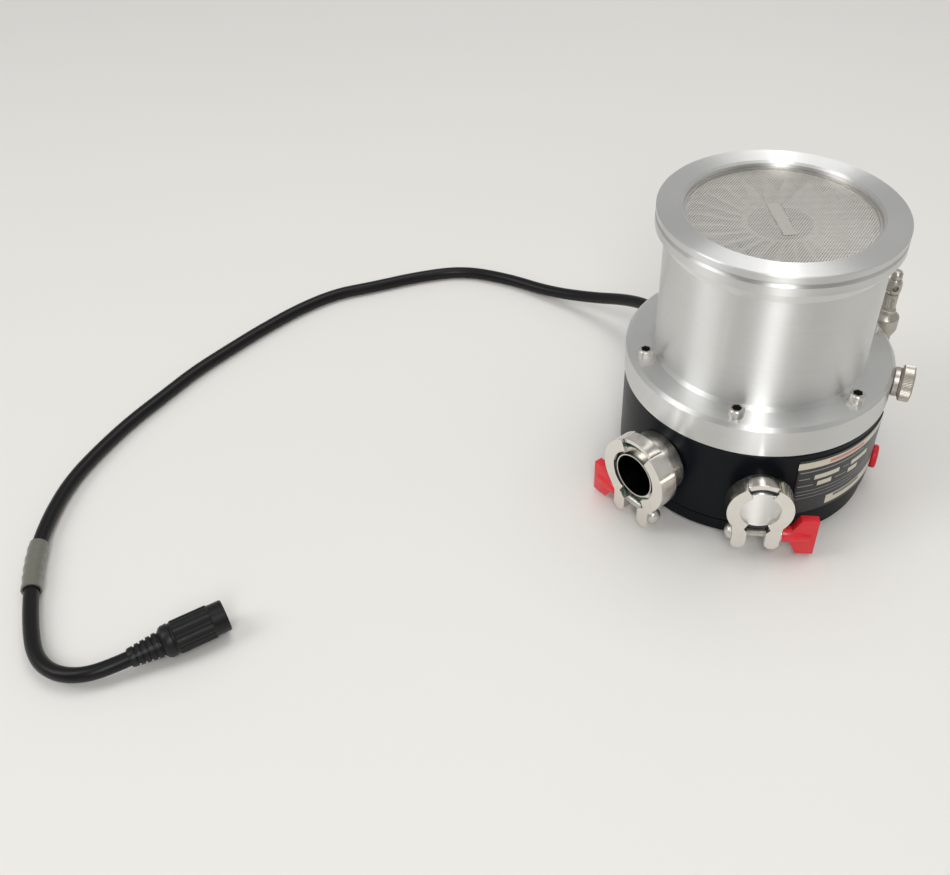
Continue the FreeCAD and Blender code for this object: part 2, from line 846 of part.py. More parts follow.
def make_motor():
    coil_low = housing_bottom + size.coil_rise + size.bearing_ring * 3
    middle = coil_low + size.coil_height / 2
    inner = size.motor_shaft_radius + size.fit
    turned("motor_magnet", ring_points(inner, size.magnet_radius,
                                       middle - size.magnet_height / 2, middle + size.magnet_height / 2))
    turned("motor_stator", ring_points(size.coil_radius, size.motor_bore_radius - size.fit,
                                       coil_low, coil_low + size.coil_height))


def make_bearings():
    """Two ball bearings, each kind of ring in one node and the balls in another."""
    bottoms = (boss_top - size.bearing_height, tube_top - size.upper_seat_depth)
    inner_outer = size.shaft_radius + size.bearing_ring
    outer_inner = size.bearing_outer_radius - size.bearing_ring
    rings = (
        ("bearing_inner_rings", size.shaft_radius + size.fit / 2, inner_outer),
        ("bearing_outer_rings", outer_inner, size.bearing_outer_radius),
    )
    for name, low_radius, high_radius in rings:
        body = new_body(name)
        for number, bottom in enumerate(bottoms):
            sketch = add_sketch(body, "ring_profile_%d" % number, "XZ_Plane")
            outline(sketch, ring_points(low_radius, high_radius, bottom, bottom + size.bearing_height))
            revolve(body, "ring_%d" % number, sketch)
    ball_radius = (outer_inner.value - inner_outer.value) / 2 - size.fit.value / 2
    pitch = (outer_inner.value + inner_outer.value) / 2
    count = int(size.ball_count.value)
    balls = []
    for bottom in bottoms:
        for number in range(count):
            angle = 2 * math.pi * number / count
            centre = Vector(pitch * math.cos(angle), pitch * math.sin(angle),
                            bottom.value + size.bearing_height.value / 2)
            balls.append(Part.makeSphere(ball_radius, centre))
    feature("bearing_balls", Part.makeCompound(balls))


def feature(name, shape, position=Vector(0, 0, 0), rotation=FreeCAD.Rotation()):
    """A plain shape with its label and placement."""
    piece = document.addObject("Part::Feature", name)
    piece.Label = name
    piece.Shape = shape
    piece.Placement = FreeCAD.Placement(position, rotation)
    pieces.append(piece)
    return piece


def make_stators():
    """Bladed rings whose skirts stand on one another round the rotor."""
    for index in range(STAGES - 1):
        bottom = stack_top - (index + 1) * stack_pitch
        name = "stator_stage_%d" % (index + 1)
        wall_inner = stack_outer - size.stator_wall
        body = turned(name, [
            (wall_inner, bottom),
            (stack_outer, bottom),
            (stack_outer, bottom + stack_pitch),
            (running_bore, bottom + stack_pitch),
            (running_bore, bottom + size.stator_height),
            (wall_inner, bottom + size.stator_height),
        ])
        hub = hub_radius(index + 1) + size.stage_gap
        ring = outline(add_sketch(body, "hub_ring_profile", "XZ_Plane"),
                       ring_points(hub, hub + size.root_ring / 2, bottom, bottom + size.stator_height))
        revolve(body, "hub_ring", ring)
        add_blades(body, bottom, size.stator_height, hub + size.root_ring / 2,
                   size.root_ring / 2, wall_inner + size.stator_wall / 3, -1)
    top = stack_top - (STAGES - 1) * stack_pitch
    step = stage_bottom(STAGES - 1) - size.stage_gap
    wall_inner = stack_outer - size.stator_wall
    body = turned("drag_stator", [
        (wall_inner, housing_top),
        (size.stator_foot_radius, housing_top),
        (size.stator_foot_radius, housing_top + size.stator_foot_height),
        (stack_outer, housing_top + size.stator_foot_height),
        (stack_outer, top),
        (running_bore, top),
        (running_bore, step),
        (wall_inner, step),
    ])
    radial_hole(body, "vent_gas_hole", size.vent_azimuth, size.vent_height, size.vent_gas_radius,
                wall_inner - size.overrun, size.stator_wall + 2 * size.overrun)


class Joint:
    """The sizes and the place of one small-flange joint."""

    def __init__(self, name, azimuth, height, reach, large, wing_side):
        prefix = "large_" if large else "small_"
        self.name = name
        self.azimuth = azimuth
        self.height = height
        self.reach = reach
        self.side = wing_side
        self.flange = getattr(size, prefix + "flange_radius")
        self.neck = getattr(size, prefix + "neck_radius")
        self.bore = getattr(size, prefix + "bore_radius")
        self.clamp = getattr(size, prefix + "clamp_radius")
        self.width = getattr(size, prefix + "clamp_width")
        self.drop = getattr(size, prefix + "bolt_drop")
        self.wing = getattr(size, prefix + "wing_half")
        self.face = reach - size.joint_gap
        self.cap_face = reach + size.joint_gap
        self.cone = (self.flange - self.neck) * size.taper

    def bolt_place(self, piece):
        """Set a piece at the bolt's middle, its Y along the bolt."""
        x = self.reach * cosine(self.azimuth)
        y = self.reach * sine(self.azimuth)
        place(piece, x, y, self.height - self.drop, self.azimuth)


joints = (
    Joint("backing", size.large_azimuth, size.port_height,
          size.housing_radius + size.large_joint_reach, True, -1),
    Joint("purge", size.purge_azimuth, size.port_height,
          size.housing_radius + size.purge_joint_reach, False, 1),
)


def flange_end(joint, inner):
    """Profile corners of a port's tapered flange, from its neck to its bore."""
    rim = joint.face - size.rim_width
    return [
        (rim - joint.cone, joint.neck),
        (rim, joint.flange),
        (joint.face, joint.flange),
        (joint.face, inner),
    ]


def make_ports():
    backing, purge = joints
    collars = (
        (backing, size.large_collar_radius, size.large_bore_radius),
        (purge, size.small_collar_radius, size.small_bore_radius),
    )
    collar_start = size.housing_radius + size.collar_clearance
    for joint, collar, bore in collars:
        collar_end = joint.reach - joint.width / 2 - size.collar_gap
        points = [
            (port_seat, bore),
            (port_seat, joint.neck),
            (collar_start, joint.neck),
            (collar_start, collar),
            (collar_end, collar),
            (collar_end, joint.neck),
        ]
        ring_bore = bore + size.centring_wall + size.fit
        ring_floor = joint.face - size.centring_reach
        points += flange_end(joint, ring_bore)
        points += [(ring_floor, ring_bore), (ring_floor, bore)]
        turned_on_port(joint.name + "_port", points, joint.azimuth, joint.height)


def make_seals():
    """Centring rings with their cord seals, and the blank caps."""
    for joint in joints:
        barrel_in = joint.bore
        barrel_out = joint.bore + size.centring_wall
        disc_out = barrel_out + size.centring_disc
        half_disc = size.joint_gap - size.fit
        floor = joint.face - size.centring_reach + size.fit
        open_end = joint.name == "backing"
        front = joint.cap_face + (size.centring_reach if open_end else size.rim_width)
        turned_on_port(joint.name + "_centring_ring", [
            (floor, barrel_in),
            (front, barrel_in),
            (front, barrel_out),
            (joint.reach + half_disc, barrel_out),
            (joint.reach + half_disc, disc_out),
            (joint.reach - half_disc, disc_out),
            (joint.reach - half_disc, barrel_out),
            (floor, barrel_out),
        ], joint.azimuth, joint.height)
        cord_in = disc_out + size.fit
        cord_out = disc_out + size.seal_share * (joint.flange - disc_out)
        box = ring_points(joint.reach - half_disc, joint.reach + half_disc, cord_in, cord_out)
        turned_on_port(joint.name + "_seal", box, joint.azimuth, joint.height)
        if open_end:
            continue
        rim = joint.cap_face + size.rim_width
        socket = barrel_out + size.fit
        socket_end = front + size.fit
        dish = size.rim_width / 2
        back = rim + joint.cone
        turned_on_port(joint.name + "_cap", [
            (joint.cap_face, socket),
            (joint.cap_face, joint.flange),
            (rim, joint.flange),
            (back, joint.neck),
            (back - dish, 0),
            (socket_end, 0),
            (socket_end, socket),
        ], joint.azimuth, joint.height)


def make_clamp(joint):
    """Two half rings, their link, the bolt, its washer and the wing nut."""
    half = joint.width / 2
    ring_bore = joint.flange + 2 * size.joint_fit
    lip_bore = joint.neck + size.lip_clearance
    rim_gap = size.joint_gap + size.rim_width + size.joint_fit
    lip_gap = rim_gap + (ring_bore - lip_bore) * size.taper
    reach = joint.reach
    end_angle = size.clamp_sweep / 2
    arm_outer = size.arm_inner + size.arm_thickness
    tongue_low = ring_bore + size.joint_fit * 3
    tongue_high = tongue_low + size.tongue_wall
    for name, side in (("left", -1), ("right", 1)):
        body = port_body("%s_clamp_%s" % (joint.name, name), joint.azimuth, joint.height)
        section = outline(add_sketch(body, "ring_profile", "XY_Plane"), [
            (reach - half, side * joint.clamp),
            (reach + half, side * joint.clamp),
            (reach + half, side * lip_bore),
            (reach + lip_gap, side * lip_bore),
            (reach + rim_gap, side * ring_bore),
            (reach - rim_gap, side * ring_bore),
            (reach - lip_gap, side * lip_bore),
            (reach - half, side * lip_bore),
        ])
        revolve(body, "ring", section, "H_Axis", size.clamp_sweep)
        seat_radius = size.washer_radius if side == joint.side else size.bolt_head_radius
        arm = outline(add_sketch(body, "arm_outline", "YZ_Plane", reach), [
            (side * joint.clamp * cosine(size.arm_start_angle), -joint.clamp * sine(size.arm_start_angle)),
            (side * ring_bore * cosine(end_angle), -ring_bore * sine(end_angle)),
            (side * size.arm_inner, -joint.flange - size.rim_width),
            (side * size.arm_inner, -joint.drop - size.arm_tip + size.bolt_radius),
            (side * (size.arm_inner + size.bolt_radius), -joint.drop - size.arm_tip),
            (side * (arm_outer - size.bolt_radius), -joint.drop - size.arm_tip),
            (side * arm_outer, -joint.drop - size.arm_tip + size.bolt_radius),
            (side * arm_outer, -joint.drop + seat_radius + size.fit),
        ])
        pad(body, "arm", arm, joint.width, middle=True)
        hole = circles(add_sketch(body, "bolt_hole_circle", "XZ_Plane"),
                       [(reach, -joint.drop, size.bolt_radius + size.bolt_fit)])
        pocket(body, "bolt_hole", hole, 4 * arm_outer, middle=True)
        slot = box_outline(add_sketch(body, "tongue_slot_profile", "XZ_Plane"),
                           reach - size.tongue_width / 2 - size.bolt_fit,
                           reach + size.tongue_width / 2 + size.bolt_fit,
                           tongue_low - size.bolt_fit, tongue_high + size.bolt_fit)
        groove(body, "tongue_slot", slot, "H_Axis", size.tongue_sweep + size.slot_play)
    link = port_body(joint.name + "_clamp_link", joint.azimuth, joint.height)
    bridge = box_outline(add_sketch(link, "bridge_profile", "XZ_Plane"),
                         reach - half + size.link_setback, reach + half - size.link_setback,
                         ring_bore, joint.clamp + size.link_rise)
    revolve(link, "bridge", bridge, "H_Axis", size.link_sweep)
    tongue = box_outline(add_sketch(link, "tongue_profile", "XZ_Plane"),
                         reach - size.tongue_width / 2, reach + size.tongue_width / 2,
                         tongue_low, tongue_high)
    revolve(link, "tongue", tongue, "H_Axis", size.tongue_sweep)
    make_wing_nut(joint, arm_outer)


def make_wing_nut(joint, arm_outer):
    """The cross bolt along Y, with the nut beyond the arm on its side."""
    side = joint.side
    washer_start = arm_outer + size.fit
    washer_end = washer_start + size.washer_height
    nut_start = washer_end + size.fit
    hub_end = nut_start + size.nut_hub_length
    bolt_end = arm_outer + size.bolt_reach
    bolt = new_body(joint.name + "_bolt")
    joint.bolt_place(bolt)
    profile = outline(add_sketch(bolt, "bolt_profile", "XY_Plane"), [
        (0, side * bolt_end),
        (size.bolt_radius, side * bolt_end),
        (size.bolt_radius, -side * arm_outer),
        (size.bolt_head_radius, -side * arm_outer),
        (size.bolt_head_radius, -side * (arm_outer + size.bolt_head_height / 2)),
        (size.bolt_radius, -side * (arm_outer + size.bolt_head_height)),
        (0, -side * (arm_outer + size.bolt_head_height)),
    ])
    revolve(bolt, "bolt_turning", profile)
    washer = new_body(joint.name + "_washer")
    joint.bolt_place(washer)
    profile = outline(add_sketch(washer, "washer_profile", "XY_Plane"), [
        (size.bolt_radius + size.bolt_fit, side * washer_start),
        (size.washer_radius, side * washer_start),
        (size.washer_radius, side * washer_end),
        (size.bolt_radius + size.bolt_fit, side * washer_end),
    ])
    revolve(washer, "washer_turning", profile)
    nut = new_body(joint.name + "_wing_nut")
    joint.bolt_place(nut)
    profile = outline(add_sketch(nut, "hub_profile", "XY_Plane"), [
        (0, side * nut_start),
        (size.nut_hub_radius, side * nut_start),
        (size.nut_hub_radius, side * hub_end),
        (0, side * hub_end),
    ])
    revolve(nut, "hub", profile)
    wing_end = hub_end + size.nut_wing_length
    shoulder = hub_end + size.nut_wing_length / 3
    plate = outline(add_sketch(nut, "wing_outline", "YZ_Plane"), [
        (side * (hub_end - size.bolt_fit), size.nut_hub_radius),
        (side * shoulder, joint.wing),
        (side * wing_end, joint.wing),
        (side * wing_end, -joint.wing),
        (side * shoulder, -joint.wing),
        (side * (hub_end - size.bolt_fit), -size.nut_hub_radius),
    ])
    pad(nut, "wing", plate, size.nut_wing_thickness, middle=True)
    bore = outline(add_sketch(nut, "bore_profile", "XY_Plane"), [
        (0, side * arm_outer),
        (size.bolt_radius + size.bolt_fit, side * arm_outer),
        (size.bolt_radius + size.bolt_fit, side * (bolt_end + size.bolt_fit)),
        (0, side * (bolt_end + size.bolt_fit)),
    ])
    groove(nut, "bore", bore)


def make_vent():
    azimuth = size.vent_azimuth
    height = size.vent_height
    seat = size.vent_seat_radius
    collar = size.flange_radius + size.fit
    collar_end = collar + size.vent_collar_length
    chamber = seat + size.vent_gas_radius
    chamber_end = chamber + size.vent_chamber_length
    clear = size.bolt_fit
    turned_on_port("vent_body", [
        (seat, size.vent_gas_radius),
        (seat, size.vent_shank_radius),
        (collar, size.vent_shank_radius),
        (collar, size.vent_collar_radius),
        (collar_end, size.vent_collar_radius),
        (collar_end, size.vent_stem_radius + clear),
        (chamber_end, size.vent_stem_radius + clear),
        (chamber_end, size.vent_pad_radius + clear),
        (chamber, size.vent_pad_radius + clear),
        (chamber, size.vent_gas_radius),
    ], azimuth, height)
    knob = collar_end + 2 * clear
    stem_end = knob + size.knob_length * 3 / 4
    turned_on_port("vent_pad", [
        (chamber + size.fit, 0),
        (chamber + size.fit, size.vent_pad_radius),
        (chamber + size.vent_pad_thickness, size.vent_pad_radius),
        (chamber + size.vent_pad_thickness, size.vent_stem_radius),
        (stem_end, size.vent_stem_radius),
        (stem_end, 0),
    ], azimuth, height)
    turned_on_port("vent_knob", [
        (knob, size.vent_stem_radius + size.fit),
        (knob, size.knob_radius),
        (knob + size.knob_length, size.knob_radius),
        (knob + size.knob_length, 0),
        (stem_end + size.fit, 0),
        (stem_end + size.fit, size.vent_stem_radius + size.fit),
    ], azimuth, height)


def make_plug():
    inner = plug_seat + size.fit
    turned_on_port("blanking_plug", [
        (inner, 0),
        (inner, size.plug_shank_radius),
        (size.housing_radius, size.plug_shank_radius),
        (size.housing_radius, size.plug_radius),
        (size.housing_radius + size.plug_head, size.plug_radius),
        (size.housing_radius + size.plug_head, 0),
    ], size.plug_azimuth, size.plug_height)


def make_relief():
    """A relief valve that stands on an elbow from the base, beside the flange."""
    azimuth = size.relief_azimuth
    reach = size.flange_radius + size.relief_reach
    shank = size.relief_shank_radius
    riser = size.relief_riser_radius
    bore = size.relief_bore_radius
    elbow = port_body("relief_elbow", azimuth, size.relief_height)
    outer = box_outline(add_sketch(elbow, "shank_profile", "XZ_Plane"),
                        plug_seat + size.fit, reach, 0, shank)
    revolve(elbow, "shank", outer, "H_Axis")
    foot = circles(add_sketch(elbow, "riser_circle", "XY_Plane", -riser), [(reach, 0, riser)])
    pad(elbow, "riser", foot, riser + size.relief_rise)
    way = box_outline(add_sketch(elbow, "way_profile", "XZ_Plane"), plug_seat, reach, 0, bore)
    groove(elbow, "way", way, "H_Axis")
    rise = circles(add_sketch(elbow, "rise_circle", "XY_Plane"), [(reach, 0, bore)])
    pocket(elbow, "rise_way", rise, size.relief_rise + size.overrun, forward=True)
    base = size.relief_height + size.relief_rise
    cup = size.relief_cup_radius
    cup_top = base + size.relief_cup_height
    barrel = size.relief_barrel_radius
    ring = barrel + size.relief_ring_step
    ring_top = cup_top + size.relief_ring_height
    barrel_top = cup_top + size.relief_barrel_height
    head_top = barrel_top + size.relief_head_height
    nut = size.relief_nut_radius
    nut_top = head_top + size.relief_nut_height
    stack = (
        ("relief_cup", [
            (bore, base),
            (riser, base),
            (cup, base + size.relief_cup_height / 3),
            (cup, cup_top - size.relief_ring_height),
            (ring, cup_top),
            (bore, cup_top),
        ]),
        ("relief_barrel", [
            (bore, cup_top),
            (ring, cup_top),
            (ring, ring_top),
            (barrel, ring_top),
            (barrel, barrel_top),
            (bore, barrel_top),
        ]),
        ("relief_head", [
            (0, barrel_top),
            (size.relief_head_radius, barrel_top),
            (size.relief_head_radius, head_top),
            (0, head_top),
        ]),
        ("relief_nut", [
            (0, head_top),
            (nut, head_top),
            (nut, head_top + size.relief_nut_height * 2 / 3),
            (nut * 2 / 3, nut_top),
            (0, nut_top),
        ]),
    )
    for name, points in stack:
        piece = turned(name, points)
        place(piece, reach * cosine(azimuth), reach * sine(azimuth))


def make_nameplate():
    body = new_body("nameplate")
    place(body, turn=size.plate_azimuth)
    inner = size.housing_radius + size.fit
    sketch = box_outline(add_sketch(body, "plate_profile", "XZ_Plane"),
                         inner, inner + size.plate_thickness,
                         size.plate_bottom, size.plate_bottom + size.plate_height)
    revolve(body, "plate", sketch, "V_Axis", size.plate_sweep)


# The cable leaves its gland, comes down to the floor and lies in a wide bend
CABLE_POINTS = [
    (-55, 95.3, 37), (-72, 117, 28), (-98, 138, 14), (-130, 156, 5.4), (-163, 173, 4.1),
    (-198, 181, 4.1), (-231, 170, 4.1), (-262, 154, 4.1), (-287, 143, 4.1), (-309, 122, 4.1),
    (-329, 95, 4.1), (-345, 70, 4.1), (-361, 44, 4.1), (-373, 17, 4.1), (-385, -9, 4.1),
    (-394, -37, 4.3), (-400, -64, 4.7), (-400, -92, 5.2), (-396, -120, 5.6),
    (-387, -147, 5.6), (-376, -172, 5.6), (-366, -189.3, 5.6), (-354.2, -198.5, 6.2),
    (-340.5, -201.4, 7.4), (-326.9, -198, 8.6), (-315.6, -189.8, 9.1),
]
SLEEVE_RUN_COUNT = 19


def gland_face():
    """The bottom of the gland's bore, where the cable starts."""
    return size.housing_radius + size.collar_clearance + size.gland_length


def cable_route():
    azimuth = math.radians(size.cable_azimuth.value)
    start = gland_face().value
    first = Vector(start * math.cos(azimuth), start * math.sin(azimuth), size.port_height.value)
    return [first] + [Vector(*point) for point in CABLE_POINTS]


def make_cable():
    route = cable_route()
    radius = size.cable_radius.value
    edges = []
    radii = []
    last = route[0]
    for before, point, after in zip(route, route[1:], route[2:]):
        back = before - point
        onward = after - point
        turn = math.pi - back.getAngle(onward)
        trim = 0.45 * min(back.Length, onward.Length)
        bend = trim / math.tan(turn / 2)
        radii.append(bend)
        back.normalize()
        onward.normalize()
        enter = point + back * trim
        leave = point + onward * trim
        inward = back + onward
        inward.normalize()
        middle = point + inward * (math.hypot(bend, trim) - bend)
        edges.append(Part.LineSegment(last, enter).toShape())
        edges.append(Part.Arc(enter, middle, leave).toShape())
        last = leave
    edges.append(Part.LineSegment(last, route[-1]).toShape())
    path = Part.Wire(edges)
    section = Part.Wire([Part.Circle(route[0], route[1] - route[0], radius).toShape()])
    tube = path.makePipeShell([section], True, False)
    expected = math.pi * radius ** 2 * path.Length
    if abs(tube.Volume - expected) > 0.001 * expected:
        raise RuntimeError("The cable's volume doesn't match its length")
    print("cable length %.1f mm" % path.Length)
    print("cable radii", [round(value) for value in radii])
    feature("cable", tube)
    low, high = route[SLEEVE_RUN_COUNT], route[SLEEVE_RUN_COUNT + 1]
    along = (high - low).normalize()
    inner = radius + size.sleeve_wall.value
    length = size.sleeve_length.value
    outer = Part.makeCylinder(inner + size.sleeve_wall.value / 2, length)
    sleeve = outer.cut(Part.makeCylinder(inner, length))
    middle = (low + high) * 0.5
    feature("cable_sleeve", sleeve, middle - along * (length / 2),
            FreeCAD.Rotation(Vector(0, 0, 1), along))
    end = route[-1]
    along = (end - route[-2]).normalize()
    boot = Part.makeCone(radius + size.sleeve_wall.value, size.connector_radius.value * 0.8,
                         size.connector_boot_length.value)
    shell = Part.makeCylinder(size.connector_radius.value, size.connector_length.value,
                              Vector(0, 0, size.connector_boot_length.value))
    feature("cable_connector", boot.fuse(shell), end, FreeCAD.Rotation(Vector(0, 0, 1), along))


def make_gland():
    inner = size.housing_radius - size.gland_seat_depth + size.fit
    face = size.housing_radius + size.collar_clearance
    bore_floor = gland_face()
    mouth = bore_floor + size.gland_bore_depth
    nut_end = bore_floor + size.gland_nut_length
    turned_on_port("cable_gland", [
        (inner, 0),
        (inner, size.gland_thread_radius),
        (face, size.gland_thread_radius),
        (face, size.gland_radius),
        (bore_floor, size.gland_radius),
        (mouth, size.gland_radius * 0.9),
        (nut_end, size.cable_radius + size.sleeve_wall),
        (nut_end, size.cable_radius + size.fit),
        (bore_floor, size.cable_radius + size.fit),
        (bore_floor, 0),
    ], size.cable_azimuth, size.port_height)


def check_and_write():
    """Check every object, then write each piece to its own file."""
    document.recompute()
    for item in document.Objects:
        if "Invalid" in item.State or "Error" in item.State:
            raise RuntimeError("%s failed: %s" % (item.Name, item.State))
        if item.TypeId in ("PartDesign::Pocket", "PartDesign::Groove"):
            before = item.BaseFeature.Shape.Volume
            if before - item.Shape.Volume < 0.05:
                raise RuntimeError("%s in %s cuts nothing" % (item.Label, item.getParent().Label))
    os.makedirs("parts", exist_ok=True)
    for piece in pieces:
        shape = piece.Shape
        if shape.isNull() or not shape.isValid():
            raise RuntimeError("%s has no valid shape" % piece.Label)
        shape.exportStep("parts/%s.step" % piece.Label)
    print("%d pieces" % len(pieces))


make_cover()
make_housing()
make_envelope()
make_envelope_seal()
make_screws("envelope_screws", size.screw_azimuth, size.screw_circle_radius, flange_top, 1, (
    size.screw_radius, size.screw_length, size.screw_head_radius,
    size.screw_head_height, size.socket_flats, size.socket_depth))
make_screws("base_cover_screws", size.cover_screw_azimuth, size.cover_screw_circle,
            size.cover_screw_recess, -1, (
                size.cover_screw_radius, size.cover_screw_length, size.cover_screw_head_radius,
                size.cover_screw_head_height, size.cover_socket_flats, size.socket_depth))
make_screen()
make_rotor()
make_motor()
make_bearings()
make_stators()
make_ports()
make_seals()
for clamp_joint in joints:
    make_clamp(clamp_joint)
make_vent()
make_plug()
make_relief()
make_nameplate()
make_gland()
make_cable()
check_and_write()
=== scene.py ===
import json
import math

import bpy
from mathutils import Matrix, Vector


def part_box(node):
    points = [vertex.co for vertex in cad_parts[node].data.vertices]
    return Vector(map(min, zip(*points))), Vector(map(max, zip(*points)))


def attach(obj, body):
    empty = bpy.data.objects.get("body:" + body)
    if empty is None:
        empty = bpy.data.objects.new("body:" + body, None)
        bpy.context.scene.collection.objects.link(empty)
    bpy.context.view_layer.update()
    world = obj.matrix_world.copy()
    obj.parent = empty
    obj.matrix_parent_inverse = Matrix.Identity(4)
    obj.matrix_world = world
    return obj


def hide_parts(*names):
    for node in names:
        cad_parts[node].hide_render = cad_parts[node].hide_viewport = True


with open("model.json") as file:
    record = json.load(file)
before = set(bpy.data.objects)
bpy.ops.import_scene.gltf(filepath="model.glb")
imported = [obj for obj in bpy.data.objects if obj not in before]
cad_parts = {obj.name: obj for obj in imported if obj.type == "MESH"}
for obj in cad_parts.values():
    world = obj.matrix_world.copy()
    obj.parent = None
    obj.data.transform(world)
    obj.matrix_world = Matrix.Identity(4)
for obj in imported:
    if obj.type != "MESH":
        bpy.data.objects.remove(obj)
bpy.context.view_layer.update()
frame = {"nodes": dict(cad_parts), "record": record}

bl_info = {
    "name": "Turbomolecular Pump",
    "version": (1, 0, 0),
    "blender": (4, 5, 0),
    "location": "View3D > Sidebar > Pump",
    "description": "Dresses a turbomolecular pump and its cable for a studio picture",
    "category": "Object",
}

MILLIMETRE = 0.001

# The pump's own sizes in metres, read from its nodes
SCREEN_LOW, SCREEN_HIGH = (Vector(corner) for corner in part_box("inlet_screen"))
HOUSING_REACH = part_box("base_housing")[1][0]
VENT_HEIGHT = sum(corner.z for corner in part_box("vent_knob")) / 2

# Azimuths about the pump's axis in degrees, and the ports' height
VENT_AZIMUTH = -15
GLAND_AZIMUTH = 120
PORT_HEIGHT = 0.037

# What the record says of each node: the body it rides with
NODE_BODY = {
    node: body for body, nodes in frame["record"]["behaviour"]["bodies"].items() for node in nodes
}


def polar(degrees, reach, height=0.0):
    """A point at an azimuth about the pump's axis."""
    angle = math.radians(degrees)
    return Vector((reach * math.cos(angle), reach * math.sin(angle), height))


def port_matrix(azimuth, height=PORT_HEIGHT):
    """The frame of a port, its X outward along the port's axis."""
    return Matrix.Translation((0, 0, height)) @ Matrix.Rotation(math.radians(azimuth), 4, "Z")


def axis_matrix(azimuth, height=PORT_HEIGHT):
    """A frame whose Z runs outward along a port's axis."""
    return port_matrix(azimuth, height) @ Matrix.Rotation(math.pi / 2, 4, "Y")


# Each port's azimuth and joint reach, its bolt's drop, and its wing nut's half width and side
PORTS = {
    "backing": dict(azimuth=-135, reach=0.0912, drop=0.0245, wing=0.0104, side=-1),
    "purge": dict(azimuth=-90, reach=0.0858, drop=0.0205, wing=0.0125, side=1),
}
CLAMP_PARTS = ("_clamp_left", "_clamp_right", "_clamp_link")
RELIEF_PARTS = ("elbow", "cup", "barrel", "head", "nut")

# The cable's route in metres, from the gland's bore to the connector
CABLE_ROUTE = [
    (-0.04165, 0.07214, 0.037), (-0.055, 0.0953, 0.037), (-0.072, 0.117, 0.028),
    (-0.098, 0.138, 0.014), (-0.130, 0.156, 0.0054), (-0.163, 0.173, 0.0041),
    (-0.198, 0.181, 0.0041), (-0.231, 0.170, 0.0041), (-0.262, 0.154, 0.0041),
    (-0.287, 0.143, 0.0041), (-0.309, 0.122, 0.0041), (-0.329, 0.095, 0.0041),
    (-0.345, 0.070, 0.0041), (-0.361, 0.044, 0.0041), (-0.373, 0.017, 0.0041),
    (-0.385, -0.009, 0.0041), (-0.394, -0.037, 0.0043), (-0.400, -0.064, 0.0047),
    (-0.400, -0.092, 0.0052), (-0.396, -0.120, 0.0056), (-0.387, -0.147, 0.0056),
    (-0.376, -0.172, 0.0056), (-0.366, -0.1893, 0.0056), (-0.3542, -0.1985, 0.0062),
    (-0.3405, -0.2014, 0.0074), (-0.3269, -0.198, 0.0086), (-0.3156, -0.1898, 0.0091),
]

# The route's point where the run inside the clear sleeve starts
SLEEVE_RUN = 19


